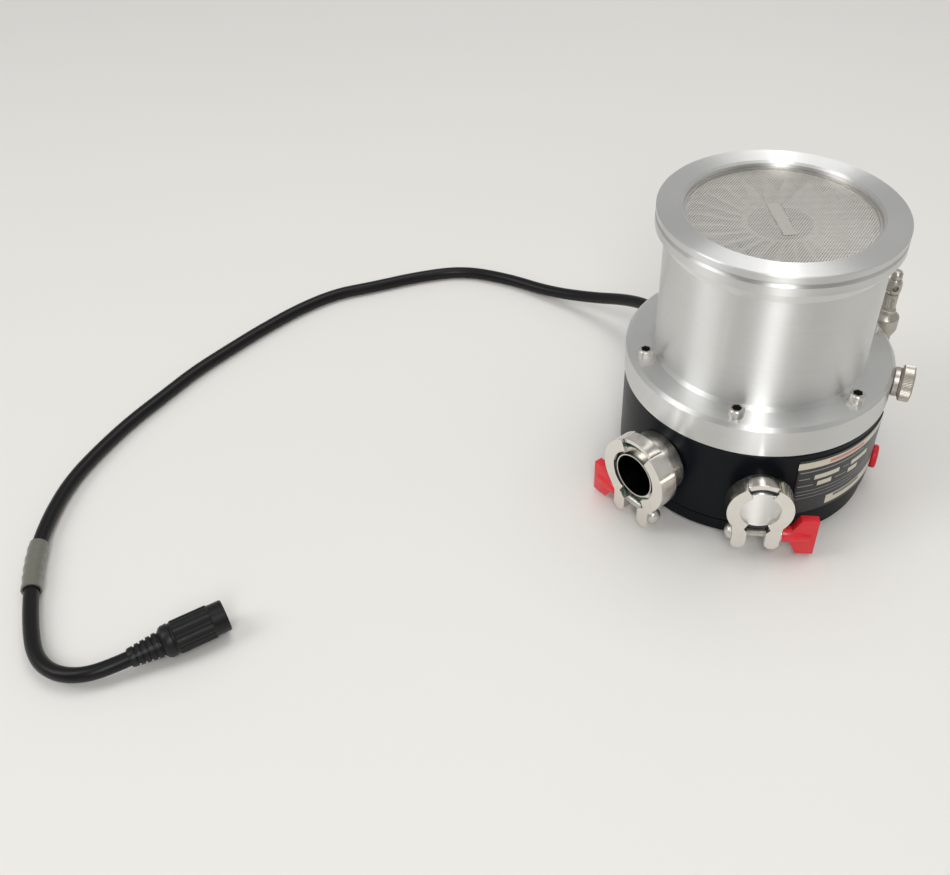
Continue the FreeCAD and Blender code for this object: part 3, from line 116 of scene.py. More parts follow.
class MaterialBuilder:
    """A node material with its shader and shorthand for its textures."""

    def __init__(self, name, color, metallic=0.0, roughness=0.5):
        self.material = bpy.data.materials.new(name)
        self.material.use_nodes = True
        self.nodes = self.material.node_tree.nodes
        self.links = self.material.node_tree.links
        self.shader = self.nodes["Principled BSDF"]
        self.shader.inputs["Base Color"].default_value = (*color, 1.0)
        self.shader.inputs["Metallic"].default_value = metallic
        self.shader.inputs["Roughness"].default_value = roughness
        self.color = color
        self.roughness = roughness
        self.place = self.nodes.new("ShaderNodeTexCoord").outputs["Object"]

    def link(self, output, node, socket):
        self.links.new(output, node.inputs[socket])

    def math(self, operation, first, second=None):
        node = self.nodes.new("ShaderNodeMath")
        node.operation = operation
        for index, value in enumerate((first, second)):
            if value is None:
                continue
            if isinstance(value, (int, float)):
                node.inputs[index].default_value = value
            else:
                self.links.new(value, node.inputs[index])
        return node.outputs[0]

    def local(self, matrix):
        """Object coordinates seen from a piece's own frame."""
        node = self.nodes.new("ShaderNodeMapping")
        node.vector_type = "TEXTURE"
        node.inputs["Location"].default_value = matrix.to_translation()
        node.inputs["Rotation"].default_value = matrix.to_euler()
        self.link(self.place, node, "Vector")
        self.place = node.outputs["Vector"]

    def scaled(self, factors):
        node = self.nodes.new("ShaderNodeVectorMath")
        node.operation = "MULTIPLY"
        node.inputs[1].default_value = factors
        self.link(self.place, node, 0)
        return node.outputs[0]

    def axis_distance(self):
        """Distance of each point from the piece's own Z axis."""
        length = self.nodes.new("ShaderNodeVectorMath")
        length.operation = "LENGTH"
        self.link(self.scaled((1, 1, 0)), length, 0)
        return length.outputs["Value"]

    def lathe_place(self, radial, along, around=2.0):
        """Radius, angle and height about Z, each with its own scale."""
        split = self.nodes.new("ShaderNodeSeparateXYZ")
        self.link(self.place, split, 0)
        join = self.nodes.new("ShaderNodeCombineXYZ")
        self.link(self.math("MULTIPLY", self.axis_distance(), radial), join, 0)
        self.link(self.math("MULTIPLY", split.outputs[2], along), join, 2)
        turn = self.math("ARCTAN2", split.outputs[1], split.outputs[0])
        self.link(self.math("MULTIPLY", self.math("COSINE", turn), around), join, 1)
        return join.outputs[0]

    def noise(self, vector, scale=1.0, detail=4.0, rough=0.5):
        node = self.nodes.new("ShaderNodeTexNoise")
        node.inputs["Scale"].default_value = scale
        node.inputs["Detail"].default_value = detail
        node.inputs["Roughness"].default_value = rough
        self.link(vector, node, "Vector")
        return node.outputs["Fac"]

    def spread(self, value, low, high, bottom, top):
        """Map a range of one value onto another."""
        node = self.nodes.new("ShaderNodeMapRange")
        for index, number in enumerate((low, high, bottom, top), start=1):
            node.inputs[index].default_value = number
        self.link(value, node, 0)
        return node.outputs[0]

    def blend(self, factor, first, second):
        node = self.nodes.new("ShaderNodeMix")
        node.data_type = "RGBA"
        self.link(factor, node, 0)
        for index, value in ((6, first), (7, second)):
            if isinstance(value, tuple):
                node.inputs[index].default_value = (*value, 1.0)
            else:
                self.links.new(value, node.inputs[index])
        return node.outputs[2]

    def tint(self, value, depth):
        """Vary the base colour by a share either way."""
        dark = tuple(channel * (1 - depth) for channel in self.color)
        light = tuple(min(1.0, channel * (1 + depth)) for channel in self.color)
        self.link(self.blend(value, dark, light), self.shader, "Base Color")

    def paint_shade_inside(self, reach, color):
        """Paint shade: give what lies within a radius about the axis a darker base colour."""
        share = self.spread(self.axis_distance(), reach, reach + 0.1 * MILLIMETRE, 0, 1)
        outer = self.shader.inputs["Base Color"].links[0].from_socket
        self.link(self.blend(share, color, outer), self.shader, "Base Color")

    def rough(self, value, low, high):
        self.link(self.spread(value, 0.3, 0.7, low, high), self.shader, "Roughness")

    def bump(self, value, height, strength=1.0):
        node = self.nodes.new("ShaderNodeBump")
        node.inputs["Strength"].default_value = strength
        node.inputs["Distance"].default_value = height
        self.link(value, node, "Height")
        self.link(node.outputs[0], self.shader, "Normal")

    def turned_grain(self, axis, amount):
        """Stretch the highlights across marks that run round an axis."""
        cross = self.nodes.new("ShaderNodeVectorMath")
        cross.operation = "CROSS_PRODUCT"
        cross.inputs[0].default_value = axis
        self.link(self.nodes.new("ShaderNodeTexCoord").outputs["Object"], cross, 1)
        self.link(cross.outputs[0], self.shader, "Tangent")
        self.shader.inputs["Anisotropic"].default_value = amount
        self.shader.inputs["Anisotropic Rotation"].default_value = 0.25


# Painted shade for the inside of a bore
BORE_SHADE = (0.05, 0.051, 0.054)


def turned_metal(name, color, roughness, matrix=None, grain=0.6, bore=None):
    """Metal turned on a lathe, with fine marks round its own Z axis and painted shade in its bore if it
    has one.
    """
    marks = 14000
    metal = MaterialBuilder(name, color, 1.0, roughness)
    if matrix is not None:
        metal.local(matrix)
    fine = metal.noise(metal.lathe_place(marks, marks, 2.0), detail=3.0)
    broad = metal.noise(metal.lathe_place(marks / 9, marks / 9, 3.0), detail=3.0)
    metal.tint(broad, 0.04)
    metal.rough(fine, roughness - 0.06, roughness + 0.08)
    metal.bump(fine, 0.004 * MILLIMETRE)
    if bore is not None:
        metal.paint_shade_inside(bore, BORE_SHADE)
    if grain:
        axis = (0, 0, 1) if matrix is None else tuple(matrix.to_3x3() @ Vector((0, 0, 1)))
        metal.turned_grain(axis, grain)
    return metal.material


def cast_metal(name, color, roughness):
    """Polished metal with the slight waviness of a casting."""
    scale = 900
    metal = MaterialBuilder(name, color, 1.0, roughness)
    place = metal.scaled((scale, scale, scale))
    fine = metal.noise(place, detail=5.0)
    broad = metal.noise(metal.scaled((scale / 3, scale / 3, scale / 3)), detail=2.0)
    metal.tint(broad, 0.06)
    metal.rough(fine, roughness - 0.05, roughness + 0.10)
    metal.bump(broad, 0.006 * MILLIMETRE)
    return metal.material


def moulded(name, color, roughness, depth=0.01 * MILLIMETRE, coat=0.0, gloss=0.5):
    """Plastic or rubber with a fine skin."""
    scale = 2500
    skin = MaterialBuilder(name, color, 0.0, roughness)
    fine = skin.noise(skin.scaled((scale, scale, scale)), detail=6.0, rough=0.6)
    broad = skin.noise(skin.scaled((scale / 20, scale / 20, scale / 20)), detail=2.0)
    skin.tint(broad, 0.08)
    skin.rough(fine, roughness - 0.06, roughness + 0.08)
    skin.bump(fine, depth)
    skin.shader.inputs["Coat Weight"].default_value = coat
    skin.shader.inputs["Specular IOR Level"].default_value = gloss
    return skin.material


def node_material(node):
    """The finish that a CAD node wears."""
    return frame["nodes"][node].data.materials[0]


def paint_node(node, material):
    """Give a CAD node its material."""
    slots = frame["nodes"][node].data.materials
    slots.clear()
    slots.append(material)


def deselect():
    if bpy.context.object and bpy.context.object.mode != "OBJECT":
        bpy.ops.object.mode_set(mode="OBJECT")
    bpy.ops.object.select_all(action="DESELECT")


def select_only(piece):
    deselect()
    piece.select_set(True)
    bpy.context.view_layer.objects.active = piece


def set_into(piece, matrix):
    """Move a piece's mesh into a frame and leave its object at the origin."""
    select_only(piece)
    piece.matrix_world = matrix @ piece.matrix_world
    bpy.context.view_layer.update()
    bpy.ops.object.transform_apply(location=True, rotation=True, scale=True)


def smooth(piece, degrees=32):
    select_only(piece)
    bpy.ops.object.shade_smooth_by_angle(angle=math.radians(degrees))


def apply_all(piece):
    select_only(piece)
    for modifier in list(piece.modifiers):
        bpy.ops.object.modifier_apply(modifier=modifier.name)


def add_bevel(piece, width, segments=2, degrees=35):
    """Round every edge that is sharper than an angle."""
    modifier = piece.modifiers.new("edge_bevel", "BEVEL")
    modifier.width = width
    modifier.segments = segments
    modifier.limit_method = "ANGLE"
    modifier.angle_limit = math.radians(degrees)


def label_piece(piece, name, body, nodes=()):
    """Name a piece and give it its body and nodes."""
    piece.name = name
    piece.data.name = name
    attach(piece, body)
    if nodes:
        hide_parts(*nodes)
    return piece


def finish_piece(piece, name, material, body, nodes=()):
    """Give a piece one material, then its name, body and nodes."""
    piece.data.materials.clear()
    piece.data.materials.append(material)
    return label_piece(piece, name, body, nodes)


def start_point(name, spot):
    """A mesh of one vertex, open in edit mode."""
    deselect()
    bpy.ops.mesh.primitive_plane_add(size=MILLIMETRE, location=(0, 0, 0))
    piece = bpy.context.object
    piece.name = name
    bpy.ops.object.mode_set(mode="EDIT")
    bpy.ops.mesh.select_all(action="SELECT")
    bpy.ops.mesh.merge(type="CENTER")
    bpy.ops.transform.translate(value=spot)
    return piece


def draw_line(name, spots, closed=False):
    """A chain of edges through the given points, left in edit mode."""
    piece = start_point(name, spots[0])
    for before, spot in zip(spots, spots[1:]):
        step = Vector(spot) - Vector(before)
        bpy.ops.mesh.extrude_region_move(TRANSFORM_OT_translate={"value": step})
    bpy.ops.mesh.select_all(action="SELECT")
    if closed:
        bpy.ops.mesh.edge_face_add()
    return piece


def turn_outline(name, points, steps=96):
    """A closed piece turned about Z from radius and height pairs."""
    piece = draw_line(name, [(radius, 0, height) for radius, height in points], closed=True)
    bpy.ops.mesh.delete(type="ONLY_FACE")
    bpy.ops.mesh.select_all(action="SELECT")
    bpy.ops.mesh.spin(steps=steps, angle=math.tau, center=(0, 0, 0), axis=(0, 0, 1))
    bpy.ops.mesh.select_all(action="SELECT")
    bpy.ops.mesh.remove_doubles(threshold=0.00001)
    bpy.ops.mesh.normals_make_consistent(inside=False)
    bpy.ops.object.mode_set(mode="OBJECT")
    return piece


def join(pieces):
    deselect()
    for piece in pieces:
        piece.select_set(True)
    bpy.context.view_layer.objects.active = pieces[0]
    bpy.ops.object.join()
    return pieces[0]


def combine(first, tool, operation):
    """Weld a solid to a piece, or cut it out of the piece."""
    modifier = first.modifiers.new("combine", "BOOLEAN")
    modifier.operation = operation
    modifier.solver = "EXACT"
    modifier.object = tool
    select_only(first)
    bpy.ops.object.modifier_apply(modifier=modifier.name)
    bpy.data.objects.remove(tool)
    return first


def copy_piece(piece, name):
    """A copy of a piece that has its own mesh."""
    twin = piece.copy()
    twin.data = piece.data.copy()
    bpy.context.collection.objects.link(twin)
    twin.name = name
    return twin


def node_copy(node, name):
    """A merged copy of a CAD node's mesh, ready for finer edges."""
    piece = copy_piece(frame["nodes"][node], name)
    piece.parent = None
    piece.matrix_world = Matrix.Identity(4)
    select_only(piece)
    bpy.ops.object.mode_set(mode="EDIT")
    bpy.ops.mesh.select_all(action="SELECT")
    bpy.ops.mesh.remove_doubles(threshold=0.000005)
    bpy.ops.mesh.dissolve_limited(angle_limit=math.radians(0.5))
    bpy.ops.object.mode_set(mode="OBJECT")
    return piece


def refine(node, width):
    """Stand a finer copy of a hard node in its place, its edges broken."""
    name = node + "_fine"
    piece = node_copy(node, name)
    add_bevel(piece, width)
    apply_all(piece)
    smooth(piece, 24)
    return finish_piece(piece, name, node_material(node), NODE_BODY[node], (node,))


def ring_patch(name, start, stop, low, high, radius, depth):
    """A thin plate bent round the pump's axis between two azimuths."""
    foot = polar(start, radius, low)
    piece = draw_line(name, [foot, foot + Vector((0, 0, high - low))])
    steps = max(2, round(abs(stop - start) / 1.5))
    bpy.ops.mesh.spin(
        steps=steps, angle=math.radians(start - stop), center=(0, 0, 0), axis=(0, 0, 1)
    )
    bpy.ops.mesh.select_all(action="SELECT")
    bpy.ops.mesh.normals_make_consistent(inside=False)
    bpy.ops.object.mode_set(mode="OBJECT")
    wall = piece.modifiers.new("wall", "SOLIDIFY")
    wall.thickness = depth
    wall.offset = 0
    apply_all(piece)
    smooth(piece, 30)
    return piece


# Corners of the screen's solid bar, at the screen's height
BAR_CORNERS = ((-0.0066, 0.0114), (-0.0005, 0.0129), (0.0052, -0.0190), (-0.0004, -0.0203))


def weave_screen(pitch, wire, material):
    """An etched sheet of six-sided holes inside a plain rim."""
    middle = (SCREEN_LOW.z + SCREEN_HIGH.z) / 2
    reach = SCREEN_HIGH.x
    rim = reach - 1.6 * MILLIMETRE
    rise = pitch * math.sqrt(3)
    across = int(2 * reach / pitch) + 2
    along = int(2 * reach / rise) + 2
    rows = []
    for shift in (0, 0.5):
        deselect()
        bpy.ops.mesh.primitive_circle_add(
            vertices=6, radius=pitch / math.sqrt(3), fill_type="NGON",
            location=((shift - across / 2) * pitch, (shift - along / 2) * rise, middle),
        )
        cell = bpy.context.object
        bpy.ops.object.transform_apply(location=True)
        for name, count, offset in (("across", across, (pitch, 0, 0)), ("along", along, (0, rise, 0))):
            array = cell.modifiers.new(name, "ARRAY")
            array.count = count
            array.use_relative_offset = False
            array.use_constant_offset = True
            array.constant_offset_displace = offset
        apply_all(cell)
        rows.append(cell)
    sheet = join(rows)
    set_into(sheet, Matrix.Rotation(math.radians(4), 4, "Z"))
    bpy.ops.object.mode_set(mode="EDIT")
    bpy.ops.mesh.select_all(action="SELECT")
    bpy.ops.mesh.remove_doubles(threshold=pitch / 20)
    bpy.ops.mesh.select_mode(type="FACE")
    bpy.ops.mesh.select_all(action="DESELECT")
    bpy.ops.object.mode_set(mode="OBJECT")
    for polygon in sheet.data.polygons:
        polygon.select = polygon.center.xy.length > rim + pitch * 0.4
    bpy.ops.object.mode_set(mode="EDIT")
    bpy.ops.mesh.delete(type="FACE")
    bpy.ops.mesh.select_all(action="SELECT")
    bpy.ops.mesh.inset(use_individual=True, thickness=wire / 2)
    bpy.ops.mesh.delete(type="FACE")
    bpy.ops.mesh.select_mode(type="VERT")
    bpy.ops.object.mode_set(mode="OBJECT")
    wall = sheet.modifiers.new("wall", "SOLIDIFY")
    wall.thickness = wire * 0.8
    wall.offset = 0
    apply_all(sheet)
    half = wire / 2
    band = turn_outline("screen_rim", [
        (rim, middle - half), (reach, middle - half), (reach, middle + half), (rim, middle + half),
    ])
    whole = join([sheet, band])
    return finish_piece(whole, "inlet_mesh", material, "pump", ("inlet_screen",))


def cut_bar(material):
    """The solid bar left in the middle of the screen, its long sides toothed."""
    top = SCREEN_HIGH.z
    corners = [Vector((x, y, top)) for x, y in BAR_CORNERS]
    teeth, tooth = 13, 0.0013
    spots = []
    for first, last, outward in ((corners[1], corners[2], 1), (corners[3], corners[0], -1)):
        step = (last - first) / teeth
        for index in range(teeth):
            spots.append(first + step * index)
            spots.append(first + step * (index + 0.5) + Vector((outward * tooth, 0, 0)))
        spots.append(last)
    bar = draw_line("screen_bar", spots, closed=True)
    bpy.ops.mesh.select_all(action="SELECT")
    bpy.ops.mesh.extrude_region_move(TRANSFORM_OT_translate={"value": (0, 0, 0.0003)})
    bpy.ops.mesh.select_all(action="SELECT")
    bpy.ops.mesh.normals_make_consistent(inside=False)
    bpy.ops.object.mode_set(mode="OBJECT")
    return finish_piece(bar, "screen_bar", material, "pump")


def cap_screw(radius, height, flats, depth):
    """A socket cap screw's head, ribbed round its side, standing on Z = 0."""
    ribs = 24
    dip = radius - 0.00018
    spots = []
    for index in range(ribs):
        angle = math.tau * index / ribs
        for share, reach in ((-0.3, radius), (0.3, radius), (0.4, dip), (0.6, dip)):
            turn = angle + share * math.tau / ribs
            spots.append((reach * math.cos(turn), reach * math.sin(turn), 0))
    head = draw_line("cap_screw", spots, closed=True)
    bpy.ops.mesh.select_all(action="SELECT")
    bpy.ops.mesh.extrude_region_move(TRANSFORM_OT_translate={"value": (0, 0, height - 0.0006)})
    bpy.ops.mesh.extrude_region_move(TRANSFORM_OT_translate={"value": (0, 0, 0.0006)})
    bpy.ops.transform.resize(value=(0.86, 0.86, 1), center_override=(0, 0, height))
    bpy.ops.mesh.select_all(action="SELECT")
    bpy.ops.mesh.normals_make_consistent(inside=False)
    bpy.ops.object.mode_set(mode="OBJECT")
    deselect()
    bpy.ops.mesh.primitive_cylinder_add(
        vertices=6, radius=flats / 2 / math.cos(math.pi / 6), depth=2 * depth, location=(0, 0, height)
    )
    combine(head, bpy.context.object, "DIFFERENCE")
    smooth(head, 25)
    return head


# The envelope screws' first azimuth, circle, seat and number
SCREW_AZIMUTH, SCREW_CIRCLE, SCREW_SEAT, SCREW_COUNT = 15, 0.067, 0.082, 6


def set_envelope_screws(shade):
    """The socket cap screws on the lower flange, with painted shade inside their sockets."""
    height = 0.005
    head = cap_screw(0.00425, height, 0.0048, 0.0030)
    heads = []
    places = [
        polar(SCREW_AZIMUTH + 360 / SCREW_COUNT * index, SCREW_CIRCLE, SCREW_SEAT)
        for index in range(SCREW_COUNT)
    ]
    for index, place in enumerate(places):
        twin = copy_piece(head, "envelope_screw_%d" % (index + 1))
        set_into(twin, Matrix.Translation(place) @ Matrix.Rotation(0.4 * index, 4, "Z"))
        heads.append(twin)
    bpy.data.objects.remove(head)
    whole = join(heads)
    smooth(whole, 25)
    steel = node_material("envelope_screws")
    finish_piece(whole, "envelope_screw_heads", steel, "pump", ("envelope_screws",))
    # The faces inside each socket wear the painted shade
    whole.data.materials.append(shade)
    for polygon in whole.data.polygons:
        offsets = [polygon.center - place for place in places]
        if any(spot.xy.length < 0.0025 and spot.z < height - 0.0002 for spot in offsets):
            polygon.material_index = 1
    return whole


def ribbed_turning(name, outline, ribs, reach, depth):
    """A turned piece whose wall at one radius is cut into straight ribs."""
    piece = turn_outline(name, outline, steps=ribs * 2)
    for vertex in piece.data.vertices:
        spot = vertex.co
        turn = math.atan2(spot.y, spot.x) / math.tau * ribs * 2
        if abs(spot.xy.length - reach) < 0.0001 and round(turn) % 2:
            share = (reach - depth) / reach
            vertex.co = (spot.x * share, spot.y * share, spot.z)
    return piece


def turn_vent_knob():
    """The vent valve's knurled nickel knob with its hub and end face."""
    start, reach = 0.07896, 0.0102
    knob = ribbed_turning("vent_knob_fine", [
        (0, 0.0), (0.0080, 0.0), (0.0083, 0.0005), (0.0094, 0.0007), (reach, 0.0014),
        (reach, 0.0064), (0.0095, 0.0070), (0.0080, 0.0070), (0.0076, 0.0074), (0, 0.0074),
    ], ribs=72, reach=reach, depth=0.00035)
    set_into(knob, axis_matrix(VENT_AZIMUTH, VENT_HEIGHT) @ Matrix.Translation((0, 0, start)))
    smooth(knob, 20)
    nickel = node_material("vent_knob")
    return finish_piece(knob, "vent_knob_fine", nickel, "vent_knob", ("vent_knob",))


def stand_relief_valve():
    """The upright valve beside the flange: cup, knurled barrel, head and nut."""
    nickel = node_material("relief_barrel")
    low, high = (Vector(corner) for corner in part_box("relief_barrel"))
    head_low, head_high = (Vector(corner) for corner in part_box("relief_head"))
    middle = (low + high) / 2
    place = Matrix.Translation((middle.x, middle.y, 0))
    refine("relief_elbow", 0.0006)
    refine("relief_cup", 0.0005)
    ring = (high.x - low.x) / 2
    wall = ring - 0.0007
    barrel = ribbed_turning("relief_barrel_fine", [
        (0, low.z), (ring, low.z), (ring, low.z + 0.0022), (wall - 0.0003, low.z + 0.0027),
        (wall - 0.0003, low.z + 0.0034), (wall, low.z + 0.0037), (wall, high.z - 0.0008),
        (wall - 0.0004, high.z), (0, high.z),
    ], ribs=32, reach=wall, depth=0.00025)
    set_into(barrel, place)
    smooth(barrel, 30)
    finish_piece(barrel, "relief_barrel_fine", nickel, "pump", ("relief_barrel",))
    reach = (head_high.x - head_low.x) / 2
    body = turn_outline("relief_head_fine", [
        (0, head_low.z), (reach - 0.0012, head_low.z), (reach - 0.0003, head_low.z + 0.0012),
        (reach, head_low.z + 0.0030), (reach, head_low.z + 0.0064),
        (reach - 0.0004, head_low.z + 0.0082), (reach - 0.0014, head_high.z), (0, head_high.z),
    ], steps=48)
    deselect()
    bpy.ops.mesh.primitive_cylinder_add(
        vertices=32, radius=0.0019, depth=0.02, location=(0, 0, head_low.z + 0.0052),
        rotation=(math.pi / 2, 0, 0),
    )
    combine(body, bpy.context.object, "DIFFERENCE")
    set_into(body, place)
    smooth(body, 30)
    finish_piece(body, "relief_head_fine", nickel, "pump", ("relief_head",))
    refine("relief_nut", 0.0006)


# Fields of the nameplate: start and end azimuth, bottom, top, finish
PLATE_FIELDS = (
    (-75.4, -22.5, 0.0522, 0.0568, "cream"),
    (-61.0, -41.0, 0.0534, 0.0556, "rose"),
    (-67.0, -54.5, 0.0430, 0.0462, "cream"),
    (-47.5, -36.0, 0.0430, 0.0462, "cream"),
    (-65.0, -58.0, 0.0378, 0.0410, "cream"),
    (-48.5, -42.5, 0.0378, 0.0410, "cream"),
    (-58.5, -23.0, 0.0205, 0.0268, "cream"),
    (-54.5, -37.5, 0.0240, 0.0262, "grey"),
    (-74.0, -40.0, 0.0494, 0.0500, "line"),
    (-74.0, -69.0, 0.0443, 0.0448, "line"),
    (-52.5, -49.0, 0.0443, 0.0448, "line"),
    (-74.0, -67.0, 0.0391, 0.0396, "line"),
    (-56.0, -50.0, 0.0391, 0.0396, "line"),
    (-74.0, -30.0, 0.0350, 0.0353, "line"),
    (-74.0, -34.0, 0.0324, 0.0327, "line"),
    (-74.0, -44.0, 0.0298, 0.0301, "line"),
)
PLATE_INKS = {
    "cream": (0.66, 0.62, 0.50), "rose": (0.60, 0.24, 0.20), "grey": (0.16, 0.16, 0.15),
    "line": (0.34, 0.34, 0.33),
}


def print_nameplate():
    """The plate's foil with its bare fields and ruled lines."""
    inks = {
        ink: moulded("plate_" + ink, color, 0.42, depth=0.003 * MILLIMETRE)
        for ink, color in PLATE_INKS.items()
    }
    reach = HOUSING_REACH + 0.00045
    skin = ring_patch("nameplate_foil", -75, -21, 0.0185, 0.0585, reach - 0.0002, 0.0004)
    skin.data.materials.append(node_material("nameplate"))
    layers = [skin]
    for start, stop, low, high, ink in PLATE_FIELDS:
        lift = 0.00004 if ink in ("rose", "grey") else 0.00002
        field = ring_patch("plate_field", start, stop, low, high, reach + lift, 0.00003)
        field.data.materials.append(inks[ink])
        layers.append(field)
    return label_piece(join(layers), "nameplate_foil", "pump", ("nameplate",))


def run_matrix(start, end):
    """A frame at a point whose Z runs towards another point."""
    heading = (Vector(end) - Vector(start)).to_track_quat("Z", "Y").to_matrix().to_4x4()
    return Matrix.Translation(start) @ heading


def boot_rings(low, pitch, reach, growth, ring):
    """Five grooved rings of a flexible boot, each one's corners given from its foot."""
    return [
        (reach + growth * index + out, low + pitch * index + up)
        for index in range(5) for out, up in ring
    ]


def turn_connector():
    """The cable's connector: a ribbed boot, a gripped shell and its pins."""
    grip = 0.0090
    outline = [(0, 0.0), (0.0048, 0.0)]
    outline += boot_rings(
        0.0012, 0.0030, 0.0052, 0.00038,
        ((0, 0), (0.0001, 0.0019), (-0.0007, 0.0021), (-0.0006, 0.0028)),
    )
    outline += [
        (0.0078, 0.0172), (0.0086, 0.0185), (0.0088, 0.0215), (0.0083, 0.0220),
        (0.0083, 0.0228), (grip, 0.0234), (grip, 0.0420), (0.0084, 0.0426),
        (0.0084, 0.0495), (0.0080, 0.0500), (0.0070, 0.0500), (0.0069, 0.0455), (0, 0.0455),
    ]
    pieces = [ribbed_turning("connector_shell", outline, ribs=24, reach=grip, depth=0.0004)]
    for index in range(7):
        place = polar(51.4 * index, 0.0042, 0.0470)
        deselect()
        bpy.ops.mesh.primitive_cylinder_add(vertices=10, radius=0.0006, depth=0.0044, location=place)
        pieces.append(bpy.context.object)
    whole = join(pieces)
    before, end = (Vector(spot) for spot in CABLE_ROUTE[-2:])
    set_into(whole, run_matrix(end, end * 2 - before))
    smooth(whole, 28)
    nylon = node_material("cable_connector")
    return finish_piece(whole, "cable_plug", nylon, "pump", ("cable_connector",))


def turn_gland():
    """The cable's entry: a hexagonal nut and a tapered, grooved relief."""
    deselect()
    bpy.ops.mesh.primitive_cylinder_add(
        vertices=6, radius=0.0090, depth=0.0062, location=(0, 0, 0.0784)
    )
    nut = bpy.context.object
    add_bevel(nut, 0.0006)
    apply_all(nut)
    bore = 0.0042
    outline = [(bore, 0.0812), (0.0078, 0.0812), (0.0078, 0.0832)]
    outline += boot_rings(
        0.0838, 0.0028, 0.0074, -0.00052,
        ((0, 0), (-0.0003, 0.0018), (-0.0011, 0.0020), (-0.0011, 0.0026)),
    )
    outline += [(0.0049, 0.0978), (bore, 0.0984)]
    relief = turn_outline("gland_relief", outline, steps=40)
    whole = join([nut, relief])
    set_into(whole, axis_matrix(GLAND_AZIMUTH))
    smooth(whole, 28)
    return finish_piece(
        whole, "cable_relief", node_material("cable_gland"), "pump", ("cable_gland",)
    )


def cable_curve(name):
    """The cable's route as one smooth spline, still without thickness."""
    data = bpy.data.curves.new(name, "CURVE")
    data.dimensions = "3D"
    data.resolution_u = 16
    spline = data.splines.new("NURBS")
    spline.points.add(len(CABLE_ROUTE) - 1)
    for point, spot in zip(spline.points, CABLE_ROUTE):
        point.co = (*spot, 1.0)
    spline.order_u = 3
    spline.use_endpoint_u = True
    holder = bpy.data.objects.new(name, data)
    bpy.context.collection.objects.link(holder)
    return holder


def bend_along_cable(piece, middle):
    """Bend a piece that stands on Z round the cable, its origin nearest a point."""
    guide = cable_curve("cable_line")
    line_mesh = bpy.data.meshes.new_from_object(guide)
    line = [vertex.co.copy() for vertex in line_mesh.vertices]
    bpy.data.meshes.remove(line_mesh)
    bpy.data.objects.remove(guide)
    lengths = [0.0]
    for before, spot in zip(line, line[1:]):
        lengths.append(lengths[-1] + (spot - before).length)
    nearest = min(range(len(line)), key=lambda index: (line[index] - middle).length)
    for vertex in piece.data.vertices:
        reach = lengths[nearest] + vertex.co.z
        index = max(i for i in range(len(line) - 1) if lengths[i] <= reach)
        along = (line[index + 1] - line[index]).normalized()
        spot = line[index] + along * (reach - lengths[index])
        side = along.cross(Vector((0, 0, 1))).normalized()
        vertex.co = spot + side * vertex.co.x + side.cross(along) * vertex.co.y
    return piece


def wrap_sleeve():
    """The loose clear sleeve round the cable, open at both ends."""
    low, high = (Vector(spot) for spot in CABLE_ROUTE[SLEEVE_RUN:SLEEVE_RUN + 2])
    half, inner, outer = 0.017, 0.0043, 0.0052
    ripple, wave = 0.0002, 900
    steps = 16
    heights = [half - 2 * half * index / steps for index in range(steps + 1)]
    outline = [(inner, -height) for height in heights]
    outline += [(outer + ripple * math.sin(wave * height), height) for height in heights]
    sleeve = turn_outline("clear_sleeve", outline, steps=40)
    bend_along_cable(sleeve, (low + high) / 2)
    smooth(sleeve, 40)
    clear = node_material("cable_sleeve")
    return finish_piece(sleeve, "cable_clear_sleeve", clear, "pump", ("cable_sleeve",))


def turn_cap(name):
    """A blank cap with its raised face, and a dark ring in its step that paints the shade there."""
    port = PORTS[name]
    back, face = port["reach"] + 0.001, port["reach"] + 0.0035
    step = face - 0.0016
    place = axis_matrix(port["azimuth"])
    cap = turn_outline("cap", [
        (0, back), (0.0148, back), (0.0150, back + 0.0002), (0.0150, step - 0.0002), (0.0148, step),
        (0.0124, step), (0.0124, face - 0.0004), (0.0120, face), (0, face),
    ])
    set_into(cap, place)
    smooth(cap, 30)
    steel = node_material(name + "_cap")
    finish_piece(cap, name + "_cap_turned", steel, "pump", (name + "_cap",))
    # A ring of the dark seal material laid in the step paints the shade of the groove
    ring = turn_outline("ring", [
        (0.0126, step), (0.0149, step), (0.0149, step + 0.0005), (0.0145, step + 0.0008),
        (0.0130, step + 0.0008), (0.0126, step + 0.0005),
    ])
    set_into(ring, place)
    smooth(ring, 40)
    dark = node_material(name + "_seal")
    return finish_piece(ring, name + "_cap_ring", dark, "pump")


def bolt_matrix(name):
    """The frame at a clamp bolt's middle, its Z towards the wing nut."""
    port = PORTS[name]
    joint = port_matrix(port["azimuth"]) @ Matrix.Translation((port["reach"], 0, -port["drop"]))
    return joint @ Matrix.Rotation(math.radians(-90 * port["side"]), 4, "X")


def mould_wing_nut(name, material):
    """A red nut with a tapered hub that runs into a broad flat wing."""
    reach, thickness, root = PORTS[name]["wing"], 0.005, 0.0046
    start, neck, shoulder, end = 0.01412, 0.0195, 0.0236, 0.03312
    spots = [
        (-root, neck), (-reach, shoulder), (-reach, end), (reach, end), (reach, shoulder), (root, neck),
    ]
    wing = draw_line("wing", [(thickness / 2, y, z) for y, z in spots], closed=True)
    bpy.ops.mesh.select_all(action="SELECT")
    bpy.ops.mesh.extrude_region_move(TRANSFORM_OT_translate={"value": (-thickness, 0, 0)})
    bpy.ops.mesh.select_all(action="SELECT")
    bpy.ops.mesh.normals_make_consistent(inside=False)
    bpy.ops.object.mode_set(mode="OBJECT")
    hub = turn_outline("hub", [
        (0, start), (root - 0.0003, start), (root, start + 0.0003), (root, neck),
        (0.0036, 0.0300), (0, 0.0312),
    ], steps=32)
    combine(wing, hub, "UNION")
    add_bevel(wing, 0.0007, 3, 28)
    apply_all(wing)
    set_into(wing, bolt_matrix(name))
    smooth(wing, 35)
    node = name + "_wing_nut"
    return finish_piece(wing, name + "_nut_wing", material, node, (node,))


